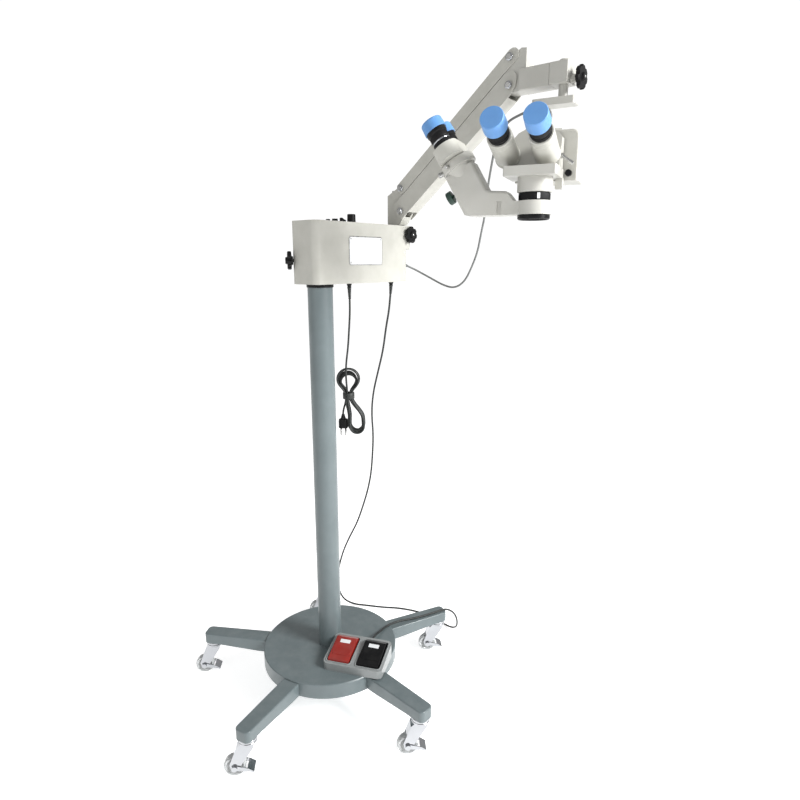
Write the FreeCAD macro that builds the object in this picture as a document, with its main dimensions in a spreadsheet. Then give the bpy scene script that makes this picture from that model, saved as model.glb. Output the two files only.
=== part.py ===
import FreeCAD, Part
import math
import os
import Sketcher

# A two-person surgical microscope on a five-legged rolling stand, in millimetres. The origin is the
# point on the floor under the column's axis, +Z is up, and +X is the side that the arm reaches to.

os.makedirs("parts", exist_ok=True)
doc = FreeCAD.newDocument("surgical_microscope")

# Driving dimensions

SIZES = {
    # stand
    "disc_diameter": 355, "disc_top": 130, "disc_height": 42, "disc_edge": 4,
    "column_diameter": 60, "column_wall": 3, "column_top": 1080, "column_seat": 40,
    "spindle_diameter": 36, "spindle_above": 96, "spindle_below": 60, "collar_lip": 2,
    "leg_count": 5, "leg_azimuth": 170.9, "leg_reach": 360, "leg_drop": 4, "leg_root_width": 46,
    "leg_tip_width": 40, "leg_root_height": 34, "leg_tip_height": 28, "leg_round": 6,
    "leg_tip_round": 12, "weld_gap": 0.3,
    # casters
    "swivel_inset": 22, "ring_diameter": 43, "ring_thick": 6.5, "ring_gap": 0.3, "stem_diameter": 11,
    "stem_length": 20, "wheel_diameter": 50, "wheel_width": 19, "trail": 31, "axle_diameter": 8,
    "fork_wall": 2.5, "fork_gap": 1.5, "caster_azimuth": 185, "running": 0.05, "clearance": 0.3,
    # control box
    "box_azimuth": 51, "box_bottom": 1088, "box_top": 1231, "box_width": 88, "box_left": 51,
    "box_upper_end": 301, "box_lower_end": 284, "box_step": 1171, "box_round": 18, "sheet": 2,
    "hub_diameter": 56, "tray_thick": 6, "post_reach": 284, "lock_height": 54, "arm_lock_drop": 23,
    # star knobs
    "knob_diameter": 43, "shaft_knob_diameter": 48, "knob_thick": 15, "knob_lobes": 7,
    "screw_diameter": 8,
    # arm
    "arm_azimuth": -38, "arm_length": 393.4, "arm_elevation": 39.7, "arm_width": 44, "cover_wall": 2,
    "pivot_forward": 34, "pivot_height": 1324, "pivot_spacing": 56.5, "pivot_radius": 5,
    "post_width": 34, "post_back": 14, "post_front": 49, "post_height": 92, "spindle_post": 22,
    # end bracket, suspension link
    "hub_back": 14, "hub_front": 38, "hub_top": 1588, "bar_bottom": 1504, "bar_height": 44,
    "bar_end": 135, "bar_width": 48, "shaft_forward": 118, "shaft_diameter": 20, "link_azimuth": 152,
    "link_bottom": 1464, "link_thick": 15, "link_width": 40, "link_length": 46, "link_overhang": 30,
    # head
    "head_x": 441.5, "head_y": -270.5, "head_azimuth": -23, "block_centre": -4, "block_width": 96,
    "block_front": 42, "block_back": 40, "block_bottom": 1292, "block_height": 17, "prism_top": 1398,
    "tube_elevation": 19, "tube_spacing": 74, "tube_offset": -18.5, "tube_lip": 77,
    "eye_height": 1377, "eye_reach": 119,
    "barrel_diameter": 65, "barrel_height": 27, "index_diameter": 57.5, "index_height": 15,
    "clamp_diameter": 66, "clamp_height": 24.6, "objective_diameter": 60, "objective_height": 9,
    "tube_diameter": 46, "eyepiece_diameter": 38, "cap_diameter": 44, "cap_length": 30,
    # focusing carriage
    "housing_bottom": 1290, "housing_top": 1382, "housing_right": 69, "housing_left": 50,
    "housing_depth": 73, "slide_gap": 6,
    # assistant's scope
    "assistant_width": 46, "assistant_lean": 32, "assistant_reach": 150, "assistant_height": 1322,
    "assistant_spacing": 56,
    # foot switch
    "switch_azimuth": -15.5, "switch_length": 104, "switch_width": 156, "switch_front": 20,
    "switch_back": 38, "switch_x": 81.5, "switch_y": -87.7,
    # cords
    "power_cord": 5, "switch_cord": 5.5, "lamp_cable": 5, "gland_length": 10, "lamp_exit": 1132,
}

sheet = doc.addObject("Spreadsheet::Sheet", "Sizes")
for row, (name, number) in enumerate(SIZES.items(), start=1):
    sheet.set(f"A{row}", name)
    sheet.set(f"B{row}", str(number))
    sheet.setAlias(f"B{row}", name)
doc.recompute()


class Dim:
    """A length or angle that carries the sheet expression it is worked out from."""

    def __init__(self, number, text=None):
        self.number = float(number)
        self.text = text if text is not None else repr(self.number)

    def join(self, other, sign, number):
        other = dim(other)
        return Dim(number(self.number, other.number), f"({self.text} {sign} {other.text})")

    def __float__(self):
        return self.number

    def __add__(self, other):
        return self.join(other, "+", lambda a, b: a + b)

    def __sub__(self, other):
        return self.join(other, "-", lambda a, b: a - b)

    def __mul__(self, other):
        return self.join(other, "*", lambda a, b: a * b)

    def __truediv__(self, other):
        return self.join(other, "/", lambda a, b: a / b)

    def __radd__(self, other):
        return dim(other) + self

    def __rsub__(self, other):
        return dim(other) - self

    def __rmul__(self, other):
        return dim(other) * self

    def __neg__(self):
        return dim(0) - self


def dim(value):
    return value if isinstance(value, Dim) else Dim(value)


class Sheet:
    """Reads the spreadsheet: S.disc_top is the cell's number, tied to the cell's alias."""

    def __getattr__(self, name):
        return Dim(sheet.get(name), f"Sizes.{name}")


S = Sheet()
NODES = {}

# Helpers: each makes one object whose sizes follow the sheet


def bind(obj, **sizes):
    for name, value in sizes.items():
        value = dim(value)
        setattr(obj, name, value.number)
        if "Sizes" in value.text:
            obj.setExpression(name, value.text)
    return obj


def vec(x, y, z):
    return FreeCAD.Vector(float(x), float(y), float(z))


def turn(axis, degrees):
    axes = {"x": vec(1, 0, 0), "y": vec(0, 1, 0), "z": vec(0, 0, 1)}
    return FreeCAD.Rotation(axes[axis], float(degrees))


def move(obj, x=0, y=0, z=0, rotation=None):
    obj.Placement = FreeCAD.Placement(vec(x, y, z), rotation or FreeCAD.Rotation())
    return obj


def block(x, y, z):
    """A box from three (low, high) pairs."""
    obj = doc.addObject("Part::Box", "Block")
    low = [dim(pair[0]) for pair in (x, y, z)]
    high = [dim(pair[1]) for pair in (x, y, z)]
    bind(obj, Length=high[0] - low[0], Width=high[1] - low[1], Height=high[2] - low[2])
    return move(obj, *low)


def rod(radius, low, high, x=0, y=0, z=0, axis="z"):
    """A round bar through (x, y, z) along one axis, from low to high on that axis."""
    obj = doc.addObject("Part::Cylinder", "Rod")
    bind(obj, Radius=radius, Height=dim(high) - dim(low))
    if axis == "x":
        return move(obj, low, y, z, turn("y", 90))
    if axis == "y":
        return move(obj, x, low, z, turn("x", -90))
    return move(obj, x, y, low)


def join(*objs):
    obj = doc.addObject("Part::MultiFuse", "Join")
    obj.Shapes = list(objs)
    obj.Refine = True
    return obj


def cut(base, *tools):
    obj = doc.addObject("Part::Cut", "Cut")
    obj.Base = base
    obj.Tool = tools[0] if len(tools) == 1 else join(*tools)
    obj.Refine = True
    return obj


def group(*objs):
    obj = doc.addObject("Part::Compound", "Group")
    obj.Links = list(objs)
    return obj


def rounded(obj, radius, pick, kind="Part::Fillet"):
    """Rounds the edges that pick(edge) chooses."""
    doc.recompute()
    size = float(radius)
    edges = [(i, size, size) for i, edge in enumerate(obj.Shape.Edges, start=1) if pick(edge)]
    if not edges:
        raise ValueError(f"no edge to round on {obj.Name}")
    done = doc.addObject(kind, "Rounded")
    done.Base = obj
    done.Edges = edges
    return done


def along(axis, near=None):
    """Picks straight edges parallel to an axis; near is a test on the edge's middle point."""
    index = "xyz".index(axis)

    def pick(edge):
        if not isinstance(edge.Curve, (Part.Line, Part.LineSegment)):
            return False
        way = edge.Vertexes[-1].Point - edge.Vertexes[0].Point
        if abs(way[index]) < 0.999 * way.Length:
            return False
        return near is None or near(edge.CenterOfMass)

    return pick


def plane_of(body, role):
    return next(f for f in body.Origin.OriginFeatures if f.Role == role)


def outline(body, role, points):
    """A closed sketch on one of the body's own planes, each corner tied to the sheet."""
    sketch = body.newObject("Sketcher::SketchObject", "Outline")
    sketch.AttachmentSupport = [(plane_of(body, role), "")]
    sketch.MapMode = "FlatFace"
    corners = [(dim(x), dim(y)) for x, y in points]
    flat = [FreeCAD.Vector(x.number, y.number, 0) for x, y in corners]
    count = len(flat)
    for i in range(count):
        sketch.addGeometry(Part.LineSegment(flat[i], flat[(i + 1) % count]), False)
    for i in range(count):
        sketch.addConstraint(Sketcher.Constraint("Coincident", i, 2, (i + 1) % count, 1))
    for i, (x, y) in enumerate(corners):
        for kind, value in (("DistanceX", x), ("DistanceY", y)):
            index = sketch.addConstraint(Sketcher.Constraint(kind, -1, 1, i, 1, value.number))
            if "Sizes" in value.text:
                sketch.setExpression(f"Constraints[{index}]", value.text)
    return sketch


def turned(points, x=0, y=0, z=0, rotation=None):
    """A body turned about Z from an outline of (radius, height) corners."""
    body = doc.addObject("PartDesign::Body", "Turned")
    sketch = outline(body, "XZ_Plane", points)
    spin = body.newObject("PartDesign::Revolution", "Spin")
    spin.Profile = sketch
    spin.ReferenceAxis = (sketch, ["V_Axis"])
    spin.Angle = 360
    sketch.Visibility = False
    return move(body, x, y, z, rotation)


def plate(points, thick, role="XY_Plane", midplane=False):
    """A body padded from an outline: on XY it grows along +Z, on XZ about the plane's middle."""
    body = doc.addObject("PartDesign::Body", "Plate")
    sketch = outline(body, role, points)
    pad = body.newObject("PartDesign::Pad", "Pad")
    pad.Profile = sketch
    bind(pad, Length=thick)
    pad.Midplane = midplane
    return body


def node(name, *objs, place=None):
    """Labels the finished sub-part; several objects become one group of separate solids."""
    obj = objs[0] if len(objs) == 1 and place is None else group(*objs)
    obj.Label = name
    if place is not None:
        obj.Placement = place
    NODES[name] = obj
    return obj


def frame(x, y, z, azimuth=0):
    return FreeCAD.Placement(vec(x, y, z), turn("z", azimuth))


def polar(reach, azimuth):
    angle = math.radians(float(azimuth))
    return float(reach) * math.cos(angle), float(reach) * math.sin(angle)


# Stand: cast disc, five box-section legs, tubular column

leg_top = S.disc_top - S.leg_drop
column_foot = S.disc_top - S.column_seat
disc_radius = S.disc_diameter / 2
column_radius = S.column_diameter / 2
disc = turned([
    (0, S.disc_top - S.disc_height),
    (disc_radius - S.disc_edge, S.disc_top - S.disc_height),
    (disc_radius, S.disc_top - S.disc_height + S.disc_edge),
    (disc_radius, S.disc_top - S.disc_edge / 2),
    (disc_radius - S.disc_edge / 2, S.disc_top),
    (column_radius + S.clearance, S.disc_top),
    (column_radius + S.clearance, column_foot),
    (0, column_foot),
])
node("base_disc", disc)


swivel_radius = S.leg_reach - S.swivel_inset


def leg():
    """One leg along +X: a box tube that narrows and thins to a rounded, closed tip."""
    tip_low = leg_top - S.leg_tip_height
    side = plate([
        (disc_radius - 12, leg_top), (disc_radius - 12, leg_top - S.leg_root_height),
        (disc_radius + 20, leg_top - S.leg_root_height), (swivel_radius - S.ring_diameter / 2 - 2, tip_low),
        (S.leg_reach, tip_low), (S.leg_reach, leg_top),
    ], S.leg_root_width, "XZ_Plane", midplane=True)
    half_root, half_tip = S.leg_root_width / 2, S.leg_tip_width / 2
    plan = move(plate([
        (0, -half_root), (disc_radius + 20, -half_root), (S.leg_reach, -half_tip),
        (S.leg_reach, half_tip), (disc_radius + 20, half_root), (0, half_root),
    ], S.disc_top), 0, 0, 0)
    bar = doc.addObject("Part::Common", "LegBar")
    bar.Base, bar.Tool = side, plan
    reach = float(S.leg_reach)
    tip = rounded(bar, S.leg_tip_round, along("z", lambda p: p.x > reach - 1))
    top = float(leg_top)

    def long_edge(edge):
        way = edge.Vertexes[-1].Point - edge.Vertexes[0].Point if len(edge.Vertexes) > 1 else None
        return (way is not None and isinstance(edge.Curve, Part.Line) and abs(way.x) > 40
                and edge.CenterOfMass.z > top - 1)

    smooth = rounded(tip, S.leg_round / 2, long_edge)
    disc_side = rod(disc_radius + S.weld_gap, 0, S.disc_top + 10)
    stem_hole = rod(S.stem_diameter / 2 + S.running, 0, leg_top - S.leg_tip_height + S.stem_length + 1,
                    x=swivel_radius)
    return cut(smooth, disc_side, stem_hole)


ring_top = leg_top - S.leg_tip_height
lower_ring_top = ring_top - S.ring_thick - S.ring_gap
leg_shape = leg()
legs = []
for i in range(int(S.leg_count.number)):
    azimuth = float(S.leg_azimuth) + i * 360 / float(S.leg_count)
    copy = doc.addObject("Part::Compound", "Leg")
    copy.Links = [leg_shape]
    copy.Placement = frame(0, 0, 0, azimuth)
    legs.append(copy)
node("legs", *legs)

column_bore = column_radius - S.column_wall
spindle_radius = S.spindle_diameter / 2
column_tube = turned([
    (column_bore, column_foot), (column_radius, column_foot), (column_radius, S.column_top),
    (column_bore, S.column_top),
])
spindle_foot = S.column_top - S.spindle_below
spindle = turned([
    (0, spindle_foot), (spindle_radius, spindle_foot), (spindle_radius, S.column_top + S.spindle_above),
    (spindle_radius - 2, S.column_top + S.spindle_above + 2), (0, S.column_top + S.spindle_above + 2),
])
sleeve = turned([
    (spindle_radius, spindle_foot), (column_bore, spindle_foot), (column_bore, S.column_top),
    (spindle_radius, S.column_top),
])
node("column", column_tube)
node("column_spindle", spindle, sleeve)

# Casters: swivel fork with brake lever, clear wheel on its axle

wheel_radius = S.wheel_diameter / 2
fork_inner = S.wheel_width / 2 + S.fork_gap
fork_outer = fork_inner + S.fork_wall
hood_top = lower_ring_top - S.ring_thick


def fork():
    """Fork for a caster that trails along +X, with its swivel axis at the origin."""
    ring_radius = S.ring_diameter / 2
    race = turned([
        (S.axle_diameter, hood_top), (ring_radius - 2, hood_top), (ring_radius, hood_top + 2),
        (ring_radius, lower_ring_top - 1), (ring_radius - 1, lower_ring_top), (0, lower_ring_top),
        (0, hood_top - 6), (S.axle_diameter, hood_top - 6),
    ])
    cheek = [
        (-ring_radius + 7, hood_top + 1), (-ring_radius + 8, hood_top - 8),
        (S.trail - 7, wheel_radius - 7), (S.trail + 7, wheel_radius - 7),
        (S.trail + 11, wheel_radius + 8), (ring_radius + 3, hood_top - 6), (ring_radius - 5, hood_top + 1),
    ]
    shell = plate(cheek, fork_outer * 2, "XZ_Plane", midplane=True)
    tyre_room = rod(wheel_radius + 3, -fork_inner, fork_inner, x=S.trail, z=wheel_radius, axis="y")
    below = block((-60, 80), (-fork_inner, fork_inner), (-5, wheel_radius))
    hollow = cut(shell, tyre_room, below)
    axle = rod(S.axle_diameter / 2, -fork_outer - 2, fork_outer + 2, x=S.trail, z=wheel_radius, axis="y")
    nut = rod(6.5, fork_outer, fork_outer + 5, x=S.trail, z=wheel_radius, axis="y")
    head = rod(6.5, -fork_outer - 5, -fork_outer, x=S.trail, z=wheel_radius, axis="y")
    arm_side = plate([
        (S.trail + 6, wheel_radius - 6), (S.trail + 6, wheel_radius + 6), (S.trail - 8, wheel_radius + 5),
        (S.trail - 32, wheel_radius - 2), (S.trail - 44, wheel_radius - 10),
        (S.trail - 43, wheel_radius - 13),
        (S.trail - 30, wheel_radius - 9), (S.trail - 8, wheel_radius - 6),
    ], fork_outer * 2 + 4, "XZ_Plane", midplane=True)
    arm_room = block((S.trail - 28.5, S.trail + 60), (-fork_outer, fork_outer), (0, wheel_radius + 30))
    lever = cut(arm_side, arm_room)
    return join(race, hollow, axle, nut, head, lever)


def wheel():
    """A clear tread on its hub, turning about the fork's axle."""
    half = S.wheel_width / 2
    bore = S.axle_diameter / 2 + S.running
    return turned([
        (bore, -half - 1), (9, -half - 1), (10, -half + 2), (wheel_radius - 7, -half + 2),
        (wheel_radius - 5, -half), (wheel_radius - 2, -half), (wheel_radius, -half + 4),
        (wheel_radius, half - 4), (wheel_radius - 2, half), (wheel_radius - 5, half),
        (wheel_radius - 7, half - 2), (10, half - 2), (9, half + 1), (bore, half + 1),
    ])


def caster_mount():
    """The fixed upper race and the stem in the leg."""
    radius = S.ring_diameter / 2
    stem = S.stem_diameter / 2
    return turned([
        (0, ring_top - S.ring_thick), (radius - 1, ring_top - S.ring_thick),
        (radius, ring_top - S.ring_thick + 1), (radius, ring_top - 1), (radius - 1, ring_top),
        (stem, ring_top), (stem, ring_top + S.stem_length), (0, ring_top + S.stem_length),
    ])


mount_shape, fork_shape, wheel_shape = caster_mount(), fork(), wheel()
mounts = []
for i in range(int(S.leg_count.number)):
    azimuth = float(S.leg_azimuth) + i * 360 / float(S.leg_count)
    x, y = polar(swivel_radius, azimuth)
    mount = doc.addObject("Part::Compound", "Mount")
    mount.Links = [mount_shape]
    mount.Placement = frame(x, y, 0)
    mounts.append(mount)
    place = frame(x, y, 0, S.caster_azimuth)
    node(f"caster_fork_{i + 1}", fork_shape, place=place)
    lift = FreeCAD.Placement(vec(S.trail, 0, wheel_radius), turn("x", 90))
    node(f"caster_wheel_{i + 1}", wheel_shape, place=place.multiply(lift))
node("caster_mounts", *mounts)

# Foot switch: it lies on the disc and over its edge, a cast case with two hinged pedals

switch_place = frame(S.switch_x, S.switch_y, S.disc_top, S.switch_azimuth)
half_length, half_width = S.switch_length / 2, S.switch_width / 2
wall, floor_thick = 8, 4
bay_half = S.switch_width / 4 - wall
pedal_gap = 3
pedal_half = bay_half - pedal_gap
case = plate([
    (-half_length, 0), (half_length, 0), (half_length, S.switch_back), (-half_length, S.switch_front),
], S.switch_width, "YZ_Plane", midplane=True)
case = rounded(case, 13, along("z"))
bays = []
for side in (-0.5, 0.5):
    middle = half_width * side
    bays.append(rounded(block(
        (middle - bay_half, middle + bay_half), (-half_length + wall, half_length - wall),
        (floor_thick, S.switch_back + 1),
    ), 6, along("z")))
node("foot_switch_case", cut(case, *bays), place=switch_place)
hinge_y, hinge_z, hinge_radius = half_length - 20, S.switch_back - 16, 3
pedal_front, pedal_back = -half_length + wall + pedal_gap, half_length - wall - pedal_gap
for name, side in (("red_pedal", -0.5), ("black_pedal", 0.5)):
    pedal = plate([
        (pedal_front, 13), (pedal_front + 50, 13), (pedal_back - 2, 13), (pedal_back, S.switch_back - 4),
        (pedal_back - 3, S.switch_back + 4), (pedal_back - 14, S.switch_back + 8),
        (pedal_front + 10, S.switch_front + 10), (pedal_front + 2, S.switch_front + 6),
        (pedal_front, S.switch_front + 1),
    ], pedal_half * 2, "YZ_Plane", midplane=True)
    move(pedal, half_width * side)
    pin_room = rod(hinge_radius + S.running, -half_width, half_width, y=hinge_y, z=hinge_z, axis="x")
    smooth = rounded(pedal, 1.5, lambda e: e.Length > 57 and e.CenterOfMass.z > 26)
    node(name, cut(smooth, pin_room), place=switch_place)
switch_gland = turned([(0, 0), (6, 0), (6, 4), (4, 13), (0, 13)],
                      12, half_length, 15, turn("x", -90))
hinge_pins = [rod(hinge_radius, half_width * c - bay_half, half_width * c + bay_half,
                  y=hinge_y, z=hinge_z, axis="x") for c in (-0.5, 0.5)]
contacts = [block((half_width * c - 8, half_width * c + 8), (-18, 2), (floor_thick, floor_thick + 3))
            for c in (-0.5, 0.5)]
node("foot_switch_fittings", switch_gland, *hinge_pins, *contacts, place=switch_place)

# Control box: cast chassis with the column bearing, folded cover, electrics, fittings

box_place = frame(0, 0, 0, S.box_azimuth)
half_box = S.box_width / 2
end_up, end_low = S.box_upper_end, S.box_lower_end


def box_form(inset, low, high):
    """The box's outer form, shrunk by inset, with its long upper end and its rounded corners."""
    y = (-half_box + inset, half_box - inset)
    radius = float(S.box_round) - float(inset)
    upper = rounded(block((-S.box_left + inset, end_up - inset), y, (S.box_step, high)), radius, along("z"))
    lower = rounded(block((-S.box_left + inset, end_low - inset), y, (low, S.box_step)), radius, along("z"))
    return join(upper, lower)


cover_skin = box_form(0, S.box_bottom, S.box_top)
cover_room = box_form(S.sheet, S.box_bottom - 1, S.box_top - S.sheet)
post_hole = rod(S.spindle_post / 2 + 0.5, S.box_top - 10, S.box_top + 5, x=S.post_reach)
knob_z = S.box_bottom + S.lock_height
right_z = S.box_top - S.arm_lock_drop


def corner_way(centre_x, corner_x, corner_y):
    """Angle and length from a spindle's axis, through a rounded corner's centre, to its surface."""
    dx, dy = float(corner_x) - float(centre_x), float(corner_y)
    return math.degrees(math.atan2(dy, dx)), math.hypot(dx, dy) + float(S.box_round)


def lying_rod(radius, low, high, centre_x, angle, z):
    """A level rod that points away from a spindle's axis at an angle in the box's plan."""
    obj = rod(radius, low, high)
    obj.Placement = frame(centre_x, 0, z, angle).multiply(FreeCAD.Placement(
        vec(low, 0, 0), turn("y", 90)))
    return obj


left_angle, left_reach = corner_way(0, -S.box_left + S.box_round, half_box - S.box_round)
right_angle, right_reach = corner_way(S.post_reach, end_up - S.box_round, -half_box + S.box_round)
left_hole = lying_rod(S.screw_diameter / 2 + 1, left_reach - 8, left_reach + 8, 0, left_angle, knob_z)
right_hole = lying_rod(S.screw_diameter / 2 + 1, right_reach - 8, right_reach + 8, S.post_reach,
                       right_angle, right_z)
control_x = [32, 55, 82, 112]
fuse_holes = [rod(4.2, S.box_top - 5, S.box_top + 5, x=x) for x in control_x[:2]]
switch_hole = block((control_x[2] - 7, control_x[2] + 7), (-5, 5), (S.box_top - 5, S.box_top + 5))
dimmer_hole = rod(4.5, S.box_top - 5, S.box_top + 5, x=control_x[3])
cover = cut(cover_skin, cover_room, post_hole, left_hole, right_hole, *fuse_holes, switch_hole, dimmer_hole)
node("control_box_cover", cover, place=box_place)

room = S.sheet + 0.2
hub_radius = S.hub_diameter / 2
floor_top = S.box_bottom + S.tray_thick
floor_plate = rounded(block(
    (-S.box_left + room, end_low - room), (-half_box + room, half_box - room), (S.box_bottom, floor_top),
), float(S.box_round) - float(room), along("z"))
hub = rod(hub_radius, S.box_bottom, S.box_top - 40)
arm_hub = rod(14, S.box_step + 1, S.box_top - S.sheet - 0.3, x=S.post_reach)
arm_floor = block((end_low - 60, S.post_reach), (-14, 14), (S.box_step + 1, S.box_step + 7))
arm_web = block((end_low - 66, end_low - 58), (-34, 34), (S.box_bottom, S.box_top - S.sheet - 0.3))
left_boss = lying_rod(9, hub_radius - 4, left_reach - 4, 0, left_angle, knob_z)
right_boss = lying_rod(8, 12, right_reach - 4, S.post_reach, right_angle, right_z)
bore = rod(spindle_radius + S.running, S.box_bottom - 1, S.column_top + S.spindle_above + 2.5)
arm_bore = rod(S.spindle_post / 2 + S.running, S.box_step + 4, S.box_top, x=S.post_reach)
left_thread = lying_rod(S.screw_diameter / 2 + S.running, 0, 90, 0, left_angle, knob_z)
right_thread = lying_rod(S.screw_diameter / 2 + S.running, 0, 90, S.post_reach, right_angle, right_z)
cord_holes = [rod(S.power_cord / 2 + 2, S.box_bottom - 1, floor_top + 1, x=x) for x in (100, 263)]
chassis = cut(join(floor_plate, hub, arm_hub, arm_floor, arm_web, left_boss, right_boss),
              bore, arm_bore, left_thread, right_thread, *cord_holes)
node("control_box_chassis", chassis, place=box_place)

transformer = rounded(block((125, 185), (-28, 28), (floor_top, floor_top + 52)), 3, along("z"))
board = block((45, 115), (-30, 30), (floor_top + 60, floor_top + 61.6))
pillars = [rod(3, floor_top, floor_top + 60, x=x, y=y) for x in (50, 110) for y in (-25, 25)]
node("power_supply", transformer, join(board, *pillars), place=box_place)

collar = turned([
    (spindle_radius + S.clearance, S.column_top + S.clearance),
    (column_radius + S.collar_lip, S.column_top + S.clearance),
    (column_radius + S.collar_lip, S.box_bottom), (spindle_radius + S.clearance, S.box_bottom),
])
fuses = [join(rod(4, S.box_top - 18, S.box_top, x=x), rod(r, S.box_top, S.box_top + h, x=x))
         for x, r, h in zip(control_x, (5, 7), (6.5, 8.5))]
box_glands = []
for x in (100, 263):
    box_glands.append(turned([
        (S.power_cord / 2 + 0.3, S.box_bottom), (6.5, S.box_bottom), (6.5, S.box_bottom - 3),
        (4.5, S.box_bottom - 10), (S.power_cord / 2 + 0.3, S.box_bottom - 10),
    ], x=x))
washer = turned([
    (S.spindle_post / 2 + 0.3, S.box_top + 0.3), (23, S.box_top + 0.3), (23, S.box_top + 2.7),
    (S.spindle_post / 2 + 0.3, S.box_top + 2.7),
], x=S.post_reach)
lamp_gland = cut(rod(5.5, end_low, end_low + 8, y=-20, z=S.lamp_exit, axis="x"),
                 rod(2.9, end_low + 5, end_low + 9, y=-20, z=S.lamp_exit, axis="x"))
node("box_fittings", collar, *fuses, *box_glands, washer, lamp_gland, place=box_place)


def star_knob(diameter, stem):
    """A lobed clamp knob about Z: its face looks along +Z, its screw goes down by stem."""
    radius = diameter / 2
    body = turned([
        (0, 0), (radius * 0.45, 0), (radius * 0.5, 3), (radius - 1, 4), (radius, 6),
        (radius, S.knob_thick - 4), (radius - 2, S.knob_thick - 2), (9, S.knob_thick - 2),
        (8, S.knob_thick + 1), (0, S.knob_thick + 1),
    ])
    lobes = int(S.knob_lobes.number)
    flutes = []
    for i in range(lobes):
        x, y = polar(radius + 2.5, i * 360 / lobes)
        flutes.append(rod(7, -1, S.knob_thick + 2, x=x, y=y))
    screw = rod(S.screw_diameter / 2, -dim(stem), 1)
    return join(cut(body, *flutes), screw)


for name, centre_x, angle, reach_out, z, spindle_r in (
        ("column_lock_knob", 0, left_angle, left_reach + 1, knob_z, spindle_radius),
        ("arm_lock_knob", S.post_reach, right_angle, right_reach + 1, right_z, S.spindle_post / 2)):
    seat = frame(centre_x, 0, z, angle).multiply(FreeCAD.Placement(vec(reach_out, 0, 0), turn("y", 90)))
    node(name, star_knob(S.knob_diameter, reach_out - spindle_r - 0.5), place=box_place.multiply(seat))
rocker = plate([(-6, -6), (6, -6), (6.5, 7), (0, 8.5), (-6.5, 12)], 9, "XZ_Plane", midplane=True)
trunnions = rod(1.5, -4.9, 4.9, axis="y")
node("power_switch", join(rocker, trunnions), place=box_place.multiply(FreeCAD.Placement(
    vec(control_x[2], 0, S.box_top), FreeCAD.Rotation())))
dimmer = turned([
    (0, -14), (3, -14), (3, 0.5), (12, 0.5), (12, 3), (10.5, 4), (10, 21), (9, 22), (0, 22),
])
node("dimmer_knob", dimmer, place=box_place.multiply(FreeCAD.Placement(
    vec(control_x[3], 0, S.box_top), FreeCAD.Rotation())))

# Arm: a post on the box, two nested links and the end bracket form a parallelogram

post_x, post_y = polar(S.post_reach, S.box_azimuth)
post_place = frame(post_x, post_y, 0, S.arm_azimuth)
arm_half = S.arm_width / 2
half_post = S.post_width / 2
low_pivot = S.pivot_height - S.pivot_spacing
pin_radius = S.pivot_radius
post_foot = S.box_top + 3
post_top = post_foot + S.post_height
post_body = plate([
    (-S.post_back, post_foot), (26, post_foot), (30, post_foot + 6), (S.post_front - 5, low_pivot - 8),
    (S.post_front, low_pivot + 2), (S.post_front, S.pivot_height + 4),
    (S.post_front - 10, S.pivot_height + 11),
    (S.pivot_forward - 8, S.pivot_height + 5), (-S.post_back, post_top - 18),
], S.post_width, "XZ_Plane", midplane=True)
post_spindle = rod(S.spindle_post / 2, S.box_step + 4.5, post_foot)
pin_holes = [rod(pin_radius - 0.01, -50, 50, x=S.pivot_forward, z=z, axis="y")
             for z in (low_pivot, S.pivot_height)]
slot_room = block((18, S.post_front + 5),
                  (-half_post + 6, half_post - 6), (low_pivot - 14, S.pivot_height + 20))
stop_hole = rod(2.49, post_top - 26, post_top, x=-S.post_back + 8)
post = cut(post_body, slot_room, stop_hole, *pin_holes)
node("arm_post", post, post_spindle, place=post_place)


def pivot_pin(x, z):
    """A pivot pin across the arm, with a slotted head outside each cover."""
    out = arm_half + 0.3
    pin = rod(pin_radius, -out, out, x=x, z=z, axis="y")
    heads = [rod(7, -out - 4, -out, x=x, z=z, axis="y"), rod(7, out, out + 4, x=x, z=z, axis="y")]
    slots = [block((dim(x) - 1, dim(x) + 1), (s * out.number + s * 4 - 2, s * out.number + s * 4 + 2),
                   (dim(z) - 8, dim(z) + 8)) for s in (-1, 1)]
    return cut(join(pin, *heads), *slots)


stop_screw = join(rod(2.5, post_top - 24, post_top - 6, x=-S.post_back + 8),
                  rod(5, post_top - 9, post_top - 4, x=-S.post_back + 8))
node("lower_pivot_pins", *[pivot_pin(S.pivot_forward, z) for z in (low_pivot, S.pivot_height)],
     stop_screw, place=post_place)

elevation = math.radians(float(S.arm_elevation))
link_turn = turn("y", -float(S.arm_elevation))


link_room = (-arm_half + S.cover_wall, arm_half - S.cover_wall)


def link(points, open_side):
    """A folded channel along +X between its two pivots: outline on XZ, hollow but for two walls."""
    outer = plate(points, S.arm_width, "XZ_Plane", midplane=True)
    return cut(outer, block((-60, S.arm_length + 60), link_room, open_side))


upper_place = post_place.multiply(FreeCAD.Placement(
    vec(S.pivot_forward, 0, S.pivot_height), link_turn))
lower_place = post_place.multiply(FreeCAD.Placement(
    vec(S.pivot_forward, 0, low_pivot), link_turn))
gap = S.pivot_spacing * math.cos(elevation)
seam = gap * 0.62
upper_points = [
    (4, -15), (-8, -12), (-12, -4), (-11, 6), (-5, 13), (S.arm_length + 8, 13), (S.arm_length + 16, 10),
    (S.arm_length + 21, 4), (S.arm_length + 22, -4), (S.arm_length + 18, -12), (S.arm_length + 11, -15),
]
lower_points = [
    (-10, -17), (-16, -6), (-14, seam - 8), (-8, seam), (S.arm_length + 6, seam),
    (S.arm_length + 17, seam - 4), (S.arm_length + 25, seam - 13), (S.arm_length + 26, seam - 23),
    (S.arm_length + 20, -4), (S.arm_length + 8, -14), (S.arm_length - 12, -18),
]
upper = link(upper_points, (-60, 11))
web_height = (-30, -14)
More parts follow.
